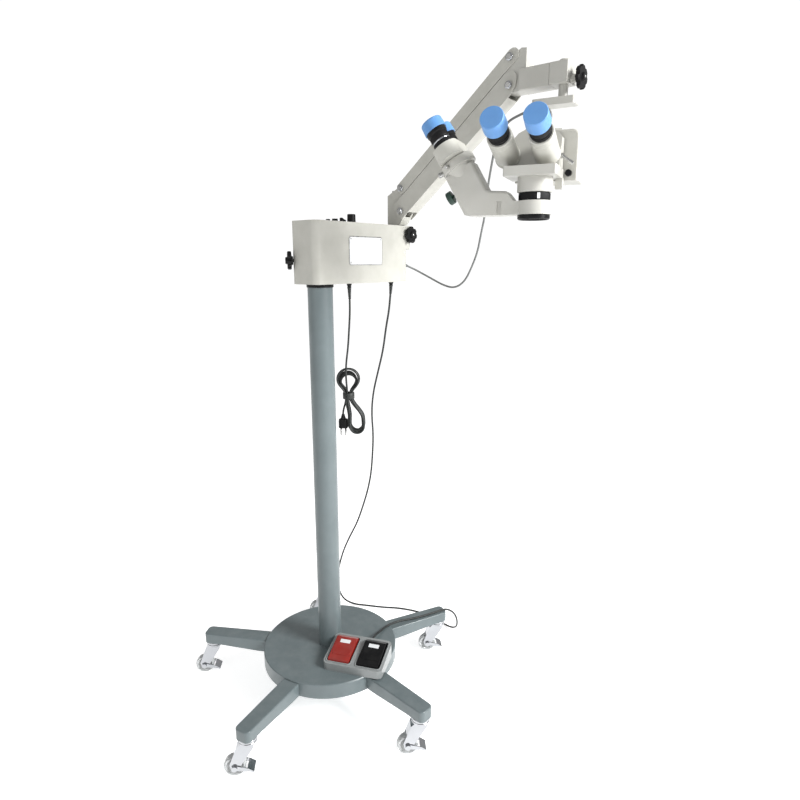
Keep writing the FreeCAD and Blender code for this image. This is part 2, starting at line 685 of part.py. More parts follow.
web_ends = [block(run, link_room, web_height) for run in ((-60, 16), (S.arm_length - 18, S.arm_length + 60))]
lower = cut(link(lower_points, (-14.5, 100)), *web_ends)
pin_bore = pin_radius + S.running
upper_holes = [rod(pin_bore, -60, 60, x=x, axis="y") for x in (0, S.arm_length)]
lower_holes = [rod(pin_bore, -60, 60, axis="y"), rod(pin_radius + 0.6, -60, 60, x=S.arm_length, axis="y")]
node("upper_link", cut(upper, *upper_holes), place=upper_place)
node("lower_link", cut(lower, *lower_holes), place=lower_place)

# Balance spring inside the lower link, held between two end plugs

spring_axis = 14
coils = turned([
    (9, 0), (15, 0), (15, 230), (9, 230),
], rotation=turn("y", 90), x=70, z=spring_axis)
pull_rod = rod(4, 58, 330, z=spring_axis, axis="x")
anchor, tail = [block((x, x + 7), link_room, (spring_axis - 14, spring_axis + 14)) for x in (318, 58)]
nut = rod(9, 300, 306, z=spring_axis, axis="x")
node("balance_spring", coils, join(pull_rod, anchor, tail, nut), place=lower_place)

# End bracket: hub between the links, wide bar, clamp block on the suspension shaft

reach = float(S.arm_length) * math.cos(elevation)
rise = float(S.arm_length) * math.sin(elevation)
bracket_place = post_place.multiply(FreeCAD.Placement(vec(float(S.pivot_forward) + reach, 0, 0),
                                                      FreeCAD.Rotation()))
upper_end = float(S.pivot_height) + rise
lower_end = float(low_pivot) + rise
bar_top = S.bar_bottom + S.bar_height
half_bar = S.bar_width / 2
hub_half = arm_half - S.cover_wall - 1
tongue = plate([
    (-S.hub_back, S.bar_bottom + 6), (-8, S.bar_bottom), (S.hub_front, S.bar_bottom),
    (S.hub_front, S.hub_top),
    (26, S.hub_top + 2), (14, S.hub_top - 4), (-S.hub_back, upper_end - 3),
], hub_half * 2, "XZ_Plane", midplane=True)
bar = plate([
    (25, S.bar_bottom), (S.bar_end, S.bar_bottom), (S.bar_end, bar_top), (25, bar_top),
], S.bar_width, "XZ_Plane", midplane=True)
knob_height = S.bar_bottom + 10
neck = rod(8, S.bar_end - 1, S.bar_end + 12, z=knob_height, axis="x")
bar = rounded(bar, 3, along("x", lambda p: p.z < float(bar_top) + 2))
seam_cut = cut(block((94, 95.2), (-40, 40), (S.bar_bottom - 5, bar_top + 1)),
               block((93, 96), (-half_bar + 1.2, half_bar - 1.2), (S.bar_bottom + 1.2, bar_top - 1.2)))
upper_bores = [rod(pin_radius - 0.01, -60, 60, z=z, axis="y") for z in (lower_end, upper_end)]
shaft_bore = rod(S.shaft_diameter / 2 + S.running, S.bar_bottom - 5, bar_top + 5, x=S.shaft_forward)
bar_thread = rod(S.screw_diameter / 2 + S.running, S.shaft_forward, S.bar_end + 15,
                 z=knob_height, axis="x")
node("end_bracket", cut(join(tongue, bar, neck), seam_cut, *upper_bores, shaft_bore, bar_thread),
     place=bracket_place)
node("upper_pivot_pins", *[pivot_pin(0, z) for z in (lower_end, upper_end)], place=bracket_place)
shaft_knob = star_knob(S.shaft_knob_diameter, S.bar_end + 13 - S.shaft_forward - S.shaft_diameter / 2 - 0.5)
node("shaft_lock_knob", shaft_knob, place=bracket_place.multiply(FreeCAD.Placement(
    vec(S.bar_end + 13, 0, knob_height), turn("y", 90))))

# Suspension link: a shaft down from the bracket with a flat bar to the head's own pivot

shaft_at = bracket_place.multVec(vec(S.shaft_forward, 0, 0))
link_place = frame(shaft_at.x, shaft_at.y, 0, S.link_azimuth)
link_top = S.link_bottom + S.link_thick
shaft_radius = S.shaft_diameter / 2
shaft = turned([
    (0, link_top - 2), (shaft_radius, link_top - 2), (shaft_radius, bar_top + 0.3),
    (12, bar_top + 0.3), (12, bar_top + 4), (10, bar_top + 6), (0, bar_top + 6),
])
link_bar = rounded(block((-S.link_overhang, S.link_length + 16), (-S.link_width / 2, S.link_width / 2),
                         (S.link_bottom, link_top)), 5, along("z"))
pivot_bore = rod(8 + S.running, S.link_bottom - 5, link_top + 5, x=S.link_length)
node("suspension_link", cut(join(shaft, link_bar), pivot_bore), place=link_place)

# Focusing carriage: spindle, cranked arm and the lamp and focus housing behind the head

head_place = frame(S.head_x, S.head_y, 0, S.head_azimuth)
head_back = S.block_back + 4
pivot_at = head_place.inverse().multVec(link_place.multVec(vec(S.link_length, 0, 0)))
slide_front = head_back + S.slide_gap
housing_back = slide_front + S.housing_depth
arm_z = (S.housing_top - 24, S.housing_top + 16)
spindle_2 = join(rod(8, S.housing_top, link_top, x=pivot_at.x, y=pivot_at.y),
                 rod(15, S.housing_top + 8, S.link_bottom - 0.3, x=pivot_at.x, y=pivot_at.y))
root = vec(4, float(housing_back) - 10, 0)
way = vec(pivot_at.x - root.x, pivot_at.y - root.y, 0)
across = vec(-way.y, way.x, 0).normalize()
arm_plan = [(p.x, p.y) for p in (
    root - across * 22, vec(pivot_at.x, pivot_at.y, 0) + way.normalize() * 16 - across * 17,
    vec(pivot_at.x, pivot_at.y, 0) + way * 16 + across * 17, root + across * 22)]
crank = move(plate(arm_plan, 26), 0, 0, S.housing_top - 10)
shell = rounded(block((-S.housing_left, S.housing_right), (slide_front, housing_back),
                      (S.housing_bottom, S.housing_top)), 14,
                along("y", lambda p: p.z > float(S.housing_top) - 1))
shell = rounded(shell, 4, along("z"))
groove = block((-13.3, 13.3), (slide_front - 1, slide_front + 9.3), (S.housing_bottom - 5, S.housing_top + 5))
lamp_knob_x, lamp_knob_z = 53, S.housing_bottom + 13
lamp_hole = rod(2.55, slide_front - 5, slide_front + 12, x=lamp_knob_x, z=lamp_knob_z, axis="y")
node("focus_housing", cut(join(shell, spindle_2, crank), groove, lamp_hole), place=head_place)

# Head: block, prism housing, zoom barrel and core tube, with the focusing slide on its back

block_top = S.block_bottom + S.block_height
half_block = S.block_width / 2
left_side, right_side = S.block_centre - half_block, S.block_centre + half_block
base = rounded(block((left_side, right_side), (-S.block_front, head_back), (S.block_bottom, block_top)),
               3, along("z"))
lean = math.radians(float(S.tube_elevation))
slope = math.tan(lean)
face_foot = 2
face_height = S.prism_top - 12 - block_top
prism_side = doc.addObject("PartDesign::Body", "PrismSide")
sketch = outline(prism_side, "YZ_Plane", [
    (face_foot, block_top), (face_foot + face_height * slope, S.prism_top - 12),
    (face_foot + face_height * slope + 6, S.prism_top - 2), (face_foot + 38, S.prism_top),
    (head_back - 2, S.prism_top), (head_back, S.prism_top - 2), (head_back, block_top),
])
pad = prism_side.newObject("PartDesign::Pad", "Pad")
pad.Profile = sketch
bind(pad, Length=S.block_width)
pad.Midplane = True
move(prism_side, S.block_centre)
prism_front = move(plate([
    (-half_block + 2, block_top), (half_block - 2, block_top), (half_block - 2, S.prism_top - 34),
    (half_block - 12, S.prism_top - 22), (24, S.prism_top - 16), (16, S.prism_top - 2), (10, S.prism_top),
    (-10, S.prism_top), (-16, S.prism_top - 2), (-24, S.prism_top - 16), (-half_block + 12, S.prism_top - 22),
    (-half_block + 2, S.prism_top - 34),
], 200, "XZ_Plane", midplane=True), S.block_centre)
prism = doc.addObject("Part::Common", "Prism")
prism.Base, prism.Tool = prism_side, prism_front
barrel_low = S.block_bottom - S.barrel_height
index_low = barrel_low - S.index_height
clamp_low = index_low - S.clamp_height
core_radius = 22
zoom = turned([
    (17, clamp_low - 1), (core_radius, clamp_low - 1), (core_radius, barrel_low),
    (S.barrel_diameter / 2 - 1.5, barrel_low), (S.barrel_diameter / 2, barrel_low + 1.5),
    (S.barrel_diameter / 2, S.block_bottom + 1), (17, S.block_bottom + 1),
])
dovetail = block((-13, 13), (head_back - 1, slide_front + 9), (S.block_bottom + 2, S.housing_top - 16))
bracket_foot = block((right_side - 12, right_side + 1), (head_back - 16, head_back),
                     (S.block_bottom - 19, S.block_bottom + 2))
head = join(base, prism, zoom, dovetail, bracket_foot)
lever_y, lever_z = 17, block_top + 21
lever_hole = rod(2.55, right_side - 12, right_side + 2, y=lever_y, z=lever_z, axis="x")
node("head_block", cut(head, lever_hole), place=head_place)
node("index_ring", turned([
    (core_radius + S.running, index_low + 0.3), (S.index_diameter / 2 - 1, index_low + 0.3),
    (S.index_diameter / 2, index_low + 1.3), (S.index_diameter / 2, barrel_low - 1.3),
    (S.index_diameter / 2 - 1, barrel_low - 0.3), (core_radius + S.running, barrel_low - 0.3),
]), place=head_place)
front = clamp_low - S.objective_height
outer = S.objective_diameter / 2
node("objective_barrel", turned([
    (26, front), (outer - 2, front), (outer, front + 2), (outer, clamp_low - 0.3),
    (core_radius + 0.02, clamp_low - 0.3), (core_radius + 0.02, clamp_low - 3.5), (20, clamp_low - 3.5),
    (20, front + 4), (26, front + 4),
]), place=head_place)
node("objective_lens", turned([
    (0, front + 4), (12, front + 4.4), (19.8, front + 5.2), (19.8, clamp_low - 1.3), (0, clamp_low - 1.3),
]), place=head_place)
lever_handle = move(join(rod(2.8, 0, 23), rod(3.8, 16, 24)), 0, 0, 3, turn("y", 38))
lever_rod = join(rod(2.5, -8, 1), rod(5, 0.3, 4), lever_handle)
node("filter_lever", lever_rod, place=head_place.multiply(FreeCAD.Placement(
    vec(right_side - 2, lever_y, lever_z), turn("y", 90))))
node("lamp_change_knob", join(rod(2.5, -9, 1), rod(6, 0.3, 9)), place=head_place.multiply(FreeCAD.Placement(
    vec(lamp_knob_x, slide_front, lamp_knob_z), turn("x", 90))))

# Binocular tubes with eyepieces and dust caps, leaning out of the prism housing's front

eye_drop = float(S.eye_height) - float(block_top)
tube_run = (float(S.eye_reach) + face_foot + eye_drop * slope) / (math.cos(lean) + math.sin(lean) * slope)
root_y = -float(S.eye_reach) + tube_run * math.cos(lean)
root_z = float(S.eye_height) - tube_run * math.sin(lean)
tube_turn = turn("x", 90 - float(S.tube_elevation))
cap_foot = tube_run - float(S.cap_length)


def eye_tube():
    """Tube with a flange at its foot and a grooved ring under its lip."""
    radius, lip = S.tube_diameter / 2, S.tube_lip
    return turned([
        (0, 0.3), (radius + 1, 0.3), (radius + 1, 3), (radius, 4), (radius, lip - 15),
        (radius - 1, lip - 14), (radius - 1, lip - 12), (radius, lip - 11), (radius, lip - 2),
        (radius - 1.5, lip), (15.1, lip), (15.1, 12), (0, 12),
    ])


def eyepiece(top):
    """Insert, knurled grip and the flange that the dust cap fits."""
    grip, foot = S.eyepiece_diameter / 2, S.tube_lip + 0.3
    return turned([
        (0, 14), (15.05, 14), (15.05, foot), (grip, foot), (grip, foot + 7),
        (grip - 1.5, foot + 8), (grip - 1.5, foot + 10), (grip, foot + 11), (grip, top - 4),
        (20, top - 2), (20, top + 8), (13, top + 10), (11, top + 7), (0, top + 7),
    ])


def dust_cap(low, high):
    radius = S.cap_diameter / 2
    return turned([
        (20.1, low), (radius, low), (radius, low + 2), (radius - 1, high - 1.5), (radius - 2, high),
        (0, high), (0, high - 1.6), (20.1, high - 1.6),
    ])


for label, side_sign in (("left", -1), ("right", 1)):
    tube_x = float(S.tube_offset) + side_sign * float(S.tube_spacing) / 2
    place = head_place.multiply(FreeCAD.Placement(vec(tube_x, root_y, root_z), tube_turn))
    node(f"{label}_tube", eye_tube(), place=place)
    node(f"{label}_eyepiece", eyepiece(cap_foot), place=place)
    node(f"{label}_cap", dust_cap(cap_foot, tube_run), place=place)

# Assistant's scope: ring and arm about the optical axis, binocular in a clamp ring

clamp_x, clamp_z = -S.assistant_reach, S.assistant_height
assist_place = head_place.multiply(FreeCAD.Placement(
    vec(clamp_x, 0, clamp_z), turn("y", -float(S.assistant_lean))))
half_arm = S.assistant_width / 2
clamp_radius = S.clamp_diameter / 2
ring = join(rod(clamp_radius, clamp_low, index_low),
            block((-clamp_radius, 0), (-half_arm, half_arm), (clamp_low, index_low)))
elbow = plate([
    (-clamp_radius, clamp_low), (-118, clamp_low), (-130, clamp_low + 2), (-169, clamp_low + 70),
    (-117, clamp_low + 99), (-88, clamp_low + 49), (-80, clamp_low + 45), (-50, clamp_low + 43),
    (-36, clamp_low + 26), (-clamp_radius, index_low),
], S.assistant_width, "XZ_Plane", midplane=True)


def elbow_edge(edge):
    """The elbow's outer edges, away from its foot and from the clamp ring."""
    at, height = edge.CenterOfMass, edge.CenterOfMass.z - float(clamp_low)
    return at.x < -60 and abs(abs(at.y) - float(half_arm)) < 0.1 and 4 < height < 80


elbow = rounded(elbow, 6, elbow_edge)
recess = block((-66, -57), (-half_arm - 1, -half_arm + 3), (clamp_low - 1, clamp_low + 25))
clamp_ring = turned([
    (0, -30), (22, -30), (30, -9), (34, -8), (34.5, -6), (34.5, 6), (33.5, 8), (26.1, 8), (26.1, -2), (0, -2),
], clamp_x, 0, clamp_z, turn("y", -float(S.assistant_lean)))
ring_bore = rod(core_radius + S.running, clamp_low - 5, index_low + 5)
knob_seat = head_place.multiply(FreeCAD.Placement(vec(-154, 0, clamp_low + 42), turn("y", -120)))
knob_hole = rod(3.05, -15, 5)
knob_hole.Placement = head_place.inverse().multiply(knob_seat).multiply(knob_hole.Placement)
node("assistant_arm", cut(join(elbow, clamp_ring), recess, knob_hole), cut(ring, ring_bore),
     place=head_place)
clamp_screws = []
for azimuth, screw_r in ((205, 5), (250, 3.5)):
    screw = turned([(0, 0), (screw_r, 0), (screw_r, 8), (screw_r - 1, 9), (0, 9)])
    screw.Placement = FreeCAD.Placement(vec(0, 0, 0), turn("z", azimuth)).multiply(FreeCAD.Placement(
        vec(34.52, 0, 0), turn("y", 90)))
    clamp_screws.append(screw)
node("assistant_clamp_screws", *clamp_screws, place=assist_place)
pair = S.assistant_spacing / 2
spigot = rod(26, -1.7, 10)
shell = join(rod(25, 9, 36, y=-pair), rod(25, 9, 36, y=pair), block((-25, 25), (-pair, pair), (9, 36)))
sockets = [rod(15.1, 18, 40, y=s * pair) for s in (-1, 1)]
node("assistant_binocular", cut(join(spigot, shell), *sockets), place=assist_place)
grips, hoods = [], []
for s in (-1, 1):
    grips.append(turned([
        (0, 20), (15.05, 20), (15.05, 36.3), (18, 36.3), (18, 46), (17, 47), (17, 49), (18, 50), (18, 62),
        (20, 64), (20, 74), (13, 76), (11, 73), (0, 73),
    ], y=s * pair))
    hoods.append(move(dust_cap(70, 90), 0, s * pair))
node("assistant_eyepieces", *grips, place=assist_place)
node("assistant_caps", *hoods, place=assist_place)
node("assistant_knob", turned([
    (0, -12), (3, -12), (3, 6), (12, 6), (13, 7), (13, 16), (12, 17), (0, 17),
]), place=knob_seat)

# Cords: routes of straight runs joined by arcs, from the control box's glands


def cord(name, diameter, points):
    """A round cord along a route: each arc's radius is 0.45 of its shorter run over tan(half turn)."""
    corners = [vec(*p) for p in points]
    edges, radii, start = [], [], corners[0]
    for before, here, after in zip(corners, corners[1:], corners[2:]):
        back, ahead = (before - here), (after - here)
        setback = 0.45 * min(back.Length, ahead.Length)
        back.normalize()
        ahead.normalize()
        half_turn = (math.pi - back.getAngle(ahead)) / 2
        radius = setback / math.tan(half_turn)
        radii.append(radius)
        enter, leave = here + back * setback, here + ahead * setback
        inward = (back + ahead).normalize()
        middle = here + inward * (radius / math.cos(half_turn) - radius)
        edges.append(Part.LineSegment(start, enter).toShape())
        edges.append(Part.Arc(enter, middle, leave).toShape())
        start = leave
    edges.append(Part.LineSegment(start, corners[-1]).toShape())
    path = doc.addObject("Part::Feature", "Route")
    path.Shape = Part.Wire(edges)
    section = doc.addObject("Part::Circle", "Section")
    bind(section, Radius=diameter / 2)
    section.Placement = FreeCAD.Placement(corners[0], FreeCAD.Rotation(vec(0, 0, 1), corners[1] - corners[0]))
    tube = doc.addObject("Part::Sweep", "Cord")
    tube.Sections = [section]
    tube.Spine = (path, [f"Edge{i + 1}" for i in range(len(edges))])
    tube.Solid = True
    doc.recompute()
    length = sum(e.Length for e in edges)
    area = math.pi * float(diameter) ** 2 / 4
    print(f"{name}: length {length:.0f}, smallest radius {min(radii):.0f}, largest {max(radii):.0f}, "
          f"volume against section times length {tube.Shape.Volume / (area * length):.4f}")
    return node(name, tube)


def box_exit(x):
    at = box_place.multVec(vec(x, 0, S.box_bottom - S.gland_length))
    return at.x, at.y, at.z


on_floor = S.switch_cord / 2 + 0.3
on_leg = leg_top + S.switch_cord / 2 + 0.3
on_disc = S.disc_top + S.switch_cord / 2 + 0.3
switch_exit = switch_place.multVec(vec(12, half_length + 13, 15))
SWITCH_ROUTE = [
    box_exit(263), (162, 210, 1020), (151, 226, 962), (142, 246, 894), (126, 265, 828), (110, 288, 760),
    (104, 308, 692), (108, 323, 622), (104, 343, 552), (98, 357, 482), (85, 377, 416), (66, 392, 350),
    (46, 411, 288), (18, 424, 230), (-6, 437, 170), (-22, 432, 110), (-24, 414, 60), (-8, 394, 22),
    (28, 384, 5), (76, 378, on_floor), (132, 366, on_floor), (190, 361, on_floor), (246, 342, on_floor),
    (290, 314, on_floor), (324, 280, on_floor), (350, 246, 7), (366, 212, 30), (366, 188, 70),
    (353, 171, 108), (327, 153.5, 132), (298, 139, 130), (262, 121, on_leg), (222, 104, on_leg),
    (184, 88, on_disc), (152, 64, on_disc), (136, 36, 135.5), (120, 4.5, 143), switch_exit,
]
cord("foot_switch_cord", S.switch_cord, SWITCH_ROUTE)
cord("power_cord", S.power_cord, [box_exit(100), (64, 80, 1026), (60, 86, 972), (62, 84, 922), (55, 84, 873)])
lamp_start = box_place.multVec(vec(end_low + 8, -20, S.lamp_exit))
LAMP_ROUTE = [
    lamp_start, (213, 231, 1127), (240, 233, 1114), (275, 214, 1095), (306, 186, 1078), (334, 158, 1071),
    (358, 136, 1089), (373, 117, 1126), (384, 95, 1163), (388, 72, 1205), (393, 38, 1252), (391, 4, 1300),
    (393, -32, 1346), (396, -68, 1388), (412, -98, 1424), (442, -118, 1436), (468, -124, 1447),
    (489, -129, 1446), (499, -131, 1432), (495, -130, 1415), (494, -130.5, S.housing_top + 16.2),
]
cord("lamp_cable", S.lamp_cable, LAMP_ROUTE)

hank_y, hank_low = 84, 748
hank = plate([
    (47, 873), (63, 873), (81, 860), (86, 838), (68, 806), (68, 790), (84, 746), (80, 712), (68, 697),
    (60, 697), (54, 706), (54, hank_low), (30, hank_low), (31, 766), (43, 790), (43, 806), (25, 838),
    (31, 860),
], 24, "XZ_Plane", midplane=True)
node("power_cord_hank", move(hank, 0, hank_y))
plug_x = 40
plug = join(turned([(0, 735), (8, 735), (6, 739), (4.5, hank_low), (0, hank_low)], plug_x, hank_y),
            rounded(block((plug_x - 12, plug_x + 12), (hank_y - 8, hank_y + 8), (708, 736)), 4, along("z")),
            *[block((plug_x + x - 3, plug_x + x + 3), (hank_y - 1, hank_y + 1), (690, 709)) for x in (-6, 6)])
node("power_plug", plug)
doc.recompute()

# Report and write

bad = [o.Name for o in doc.Objects if {"Invalid", "Error"} & set(o.State)]
if bad:
    raise RuntimeError(f"failed objects: {bad}")
for name, obj in NODES.items():
    shape = obj.Shape
    if shape.isNull() or not shape.isValid():
        raise RuntimeError(f"{name} has no valid shape")
for name, obj in NODES.items():
    obj.Shape.exportStep(f"parts/{name}.step")
    box = obj.Shape.BoundBox
    print(f"{name}: {len(obj.Shape.Solids)} solids, {obj.Shape.Volume / 1000:.1f} cm3, "
          f"z {box.ZMin:.1f} to {box.ZMax:.1f}")
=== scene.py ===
# %% [markdown]
# This lesson dresses a two-person surgical microscope on its rolling stand. The solid parts come
# ready made from a CAD model. Blender adds what a solid can't show: paint, moulded plastic, chrome,
# loose cords, plates, knurls and soft caps. Everything is in metres, with the floor at height zero.

# %% Load the model
import bpy
import math
from mathutils import Matrix, Vector


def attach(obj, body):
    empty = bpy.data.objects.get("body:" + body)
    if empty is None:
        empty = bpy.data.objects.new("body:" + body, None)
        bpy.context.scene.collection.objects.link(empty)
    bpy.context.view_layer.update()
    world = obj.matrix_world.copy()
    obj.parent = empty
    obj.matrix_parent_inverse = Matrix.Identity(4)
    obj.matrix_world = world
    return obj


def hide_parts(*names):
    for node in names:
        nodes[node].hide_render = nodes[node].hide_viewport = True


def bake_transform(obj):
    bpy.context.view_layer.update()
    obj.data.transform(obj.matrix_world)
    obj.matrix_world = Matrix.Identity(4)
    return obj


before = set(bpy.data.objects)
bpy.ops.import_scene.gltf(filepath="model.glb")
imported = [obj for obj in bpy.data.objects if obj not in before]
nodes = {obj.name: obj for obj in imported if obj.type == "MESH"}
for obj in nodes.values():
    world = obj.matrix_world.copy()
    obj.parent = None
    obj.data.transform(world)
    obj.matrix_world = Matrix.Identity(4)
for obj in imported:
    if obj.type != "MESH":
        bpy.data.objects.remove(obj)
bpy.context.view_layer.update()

# %% [markdown]
# The camera is a plain one: a 27 mm lens on a 36 mm sensor, a step back from the stand, tipped down
# by thirteen degrees. That gives the strong downward perspective that the stand's base shows.

# %% Camera
camera_data = bpy.data.cameras.new("Camera")
camera_data.lens, camera_data.sensor_width = 27, 36
camera = bpy.data.objects.new("Camera", camera_data)
camera.location = (0.19, -1.45, 1.14)
camera.rotation_euler = (math.radians(77), 0, 0)
bpy.context.scene.collection.objects.link(camera)
bpy.context.scene.camera = camera
print("camera at", tuple(camera.location))

# %% [markdown]
# The studio is a pale floor under a white sky. A large soft lamp from the front right models the
# round forms, and a weaker one from the left keeps the dark sides open. The sky looks pure white to
# the camera but lights the scene more softly, so that the sides away from the lamp stay darker.

# %% Studio
def area_lamp(name, place, aim, size, power):
    lamp = bpy.data.lights.new(name, "AREA")
    lamp.shape, lamp.size, lamp.energy = "DISK", size, power
    holder = bpy.data.objects.new(name, lamp)
    holder.location = place
    way = Vector(aim) - Vector(place)
    holder.rotation_euler = way.to_track_quat("-Z", "Y").to_euler()
    bpy.context.scene.collection.objects.link(holder)
    return holder


sky = bpy.data.worlds.new("White sky")
sky.use_nodes = True
bare_white = sky.node_tree.nodes["Background"]
bare_white.inputs["Color"].default_value = (1.0, 1.0, 1.0, 1)
ray = sky.node_tree.nodes.new("ShaderNodeLightPath")
strength = sky.node_tree.nodes.new("ShaderNodeMapRange")
strength.inputs["To Min"].default_value, strength.inputs["To Max"].default_value = 0.48, 1.05
sky.node_tree.links.new(ray.outputs["Is Camera Ray"], strength.inputs["Value"])
sky.node_tree.links.new(strength.outputs["Result"], bare_white.inputs["Strength"])
bpy.context.scene.world = sky
area_lamp("Key lamp", (2.75, -1.55, 2.3), (0.2, 0, 0.9), 1.3, 175)
area_lamp("Fill lamp", (-2.0, -2.0, 1.8), (0.2, 0, 0.9), 2.0, 8)
bpy.context.scene.view_settings.view_transform = "Standard"

floor_mesh = bpy.data.meshes.new("Studio floor")
reach = 30.0
floor_mesh.from_pydata([(-reach, -reach, 0), (reach, -reach, 0), (reach, reach, 0), (-reach, reach, 0)],
                       [], [(0, 1, 2, 3)])
studio_floor = bpy.data.objects.new("Studio_floor", floor_mesh)
bpy.context.scene.collection.objects.link(studio_floor)
print("lamps and floor are set")

# %% [markdown]
# Each group of parts has its own place, the same that the CAD model gives it. A place is a matrix:
# a turn about the upright axis and a shift. Pieces are then made in simple local sizes.

# %% Places
MM = 0.001


def place(x, y, z, azimuth=0.0):
    return Matrix.Translation(Vector((x, y, z)) * MM) @ Matrix.Rotation(math.radians(azimuth), 4, "Z")


def spin(axis, degrees):
    return Matrix.Rotation(math.radians(degrees), 4, axis.upper())


def shift(x, y, z):
    return Matrix.Translation(Vector((x, y, z)) * MM)


box_turn, arm_turn = 51, -38
post_reach, pivot_reach = 284, 34
arm_length, arm_slope = 393.4, math.radians(39.7)
arm_rise, arm_run = arm_length * math.sin(arm_slope), arm_length * math.cos(arm_slope)
box_place = place(0, 0, 0, box_turn)
post_place = box_place @ shift(post_reach, 0, 0) @ spin("z", arm_turn - box_turn)
bracket_place = post_place @ shift(pivot_reach + arm_run, 0, 0)
head_place = place(441.5, -270.5, 0, -23)
switch_place = place(81.5, -87.7, 130, -15.5)
assist_place = head_place @ shift(-150, 0, 1322) @ spin("y", -32)
print("places: box, post, bracket, head, switch, assistant")

# %% [markdown]
# A cord is one smooth curve with a round section. The curve is a NURBS spline, which rounds off the
# corners of its control points, so it bends as a flexible lead does. Its order is set after the
# points exist, because Blender limits the order to the number of points. Each point holds the lead's
# radius, and the bevel depth of one leaves it as it is.

# %% Cord helper
def cord_curve(name, route, diameter, body):
    """A round lead along control points in millimetres."""
    data = bpy.data.curves.new(name, "CURVE")
    data.dimensions = "3D"
    spline = data.splines.new("NURBS")
    spline.points.add(len(route) - 1)
    for point, corner in zip(spline.points, route):
        point.co = (*(Vector(corner) * MM), 1)
        point.radius = diameter / 2 * MM
    spline.order_u = 3
    spline.use_endpoint_u = True
    data.resolution_u = 6
    data.bevel_depth = 1.0
    data.bevel_resolution = 3
    data.use_fill_caps = True
    piece = bpy.data.objects.new(name, data)
    bpy.context.scene.collection.objects.link(piece)
    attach(piece, body)
    return piece


def centre_line(piece):
    """The points of a lead's own smooth line, in metres."""
    bare = piece.data.copy()
    bare.bevel_depth = 0
    holder = bpy.data.objects.new("Line", bare)
    line = bpy.data.meshes.new_from_object(holder)
    points = [corner.co.copy() for corner in line.vertices]
    bpy.data.objects.remove(holder)
    bpy.data.curves.remove(bare)
    bpy.data.meshes.remove(line)
    return points


def line_length(points):
    return sum((b - a).length for a, b in zip(points, points[1:]))


def spot(matrix, x, y, z):
    """A point of a place, in millimetres of the whole object."""
    return tuple(matrix @ (Vector((x, y, z)) * MM) / MM)


# %% [markdown]
# The foot switch's lead drops behind the stand, lies on the floor, and comes over a leg and the base
# disc to the switch. Its top meets the control box, which swivels, and its foot stays at the switch.
# The curve is turned into a plain mesh. The lamp's lead sags from the control box and climbs to the
# focusing arm.

# %% Foot switch lead
floor_high, leg_high, disc_high = 3.05, 129.05, 133.05
switch_route = [
    spot(box_place, 263, 0, 1078), (162, 210, 1020), (151, 226, 962), (142, 246, 894), (126, 265, 828),
    (110, 288, 760), (104, 308, 692), (108, 323, 622), (104, 343, 552), (98, 357, 482), (85, 377, 416),
    (66, 392, 350), (46, 411, 288), (18, 424, 230), (-6, 437, 170), (-22, 432, 110), (-24, 414, 60),
    (-8, 394, 22), (28, 384, 5), (76, 378, floor_high), (132, 366, floor_high), (190, 361, floor_high),
    (246, 342, floor_high), (290, 314, floor_high), (324, 280, floor_high), (350, 246, 7),
    (366, 212, 30), (366, 188, 70), (353, 171, 108), (327, 153.5, 132), (298, 139, 130),
    (262, 121, leg_high), (222, 104, leg_high), (184, 88, disc_high), (152, 64, disc_high),
    (136, 36, 135.5), (120, 4.5, 143),
    spot(switch_place, 12, 65, 15),
]
switch_curve = cord_curve("Foot_switch_curve", switch_route, 5.5, "stand")
switch_line = centre_line(switch_curve)
switch_lead = bpy.data.objects.new("Foot_switch_lead", bpy.data.meshes.new_from_object(switch_curve))
bpy.context.scene.collection.objects.link(switch_lead)
bpy.data.objects.remove(switch_curve)
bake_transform(switch_lead)
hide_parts("foot_switch_cord")
print("foot switch lead:", len(switch_route), "points")

# %% Lamp lead
lamp_route = [
    spot(box_place, 292, -20, 1132), (213, 231, 1127), (240, 233, 1114), (275, 214, 1095),
    (306, 186, 1078), (334, 158, 1071), (358, 136, 1089), (373, 117, 1126), (384, 95, 1163),
    (388, 72, 1205), (393, 38, 1252), (391, 4, 1300), (393, -32, 1346), (396, -68, 1388),
    (412, -98, 1424), (442, -118, 1436), (468, -124, 1447), (489, -129, 1446), (499, -131, 1432),
    (495, -130, 1415), (494, -130.5, 1398.2),
]
lamp_lead = cord_curve("Lamp_lead", lamp_route, 5, "control_box")
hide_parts("lamp_cable")
print("lamp lead:", len(lamp_route), "points")

# %% [markdown]
# The mains lead is folded into a loose hank behind the column. It is one long lead: it comes down
# from the box, runs up and down in long loops that are pinched in the middle, and ends at the plug.
# Wide and narrow loops take turns, each a lead's thickness behind the last, so that no two strands
# share a place. At the waist the strands sit in rows and columns, as a tie squeezes them.

# %% Mains lead
def fold(x, y, z, wide, way):
    """Control points of a round end about (x, z): way 1 is a top from right to left, -1 a foot back again."""
    near = wide * math.tan(math.radians(22.5))
    across = [(wide, -near), (wide, near), (near, wide), (-near, wide), (-wide, near), (-wide, -near)]
    return [(x + way * dx, y, z + way * dz) for dx, dz in across]


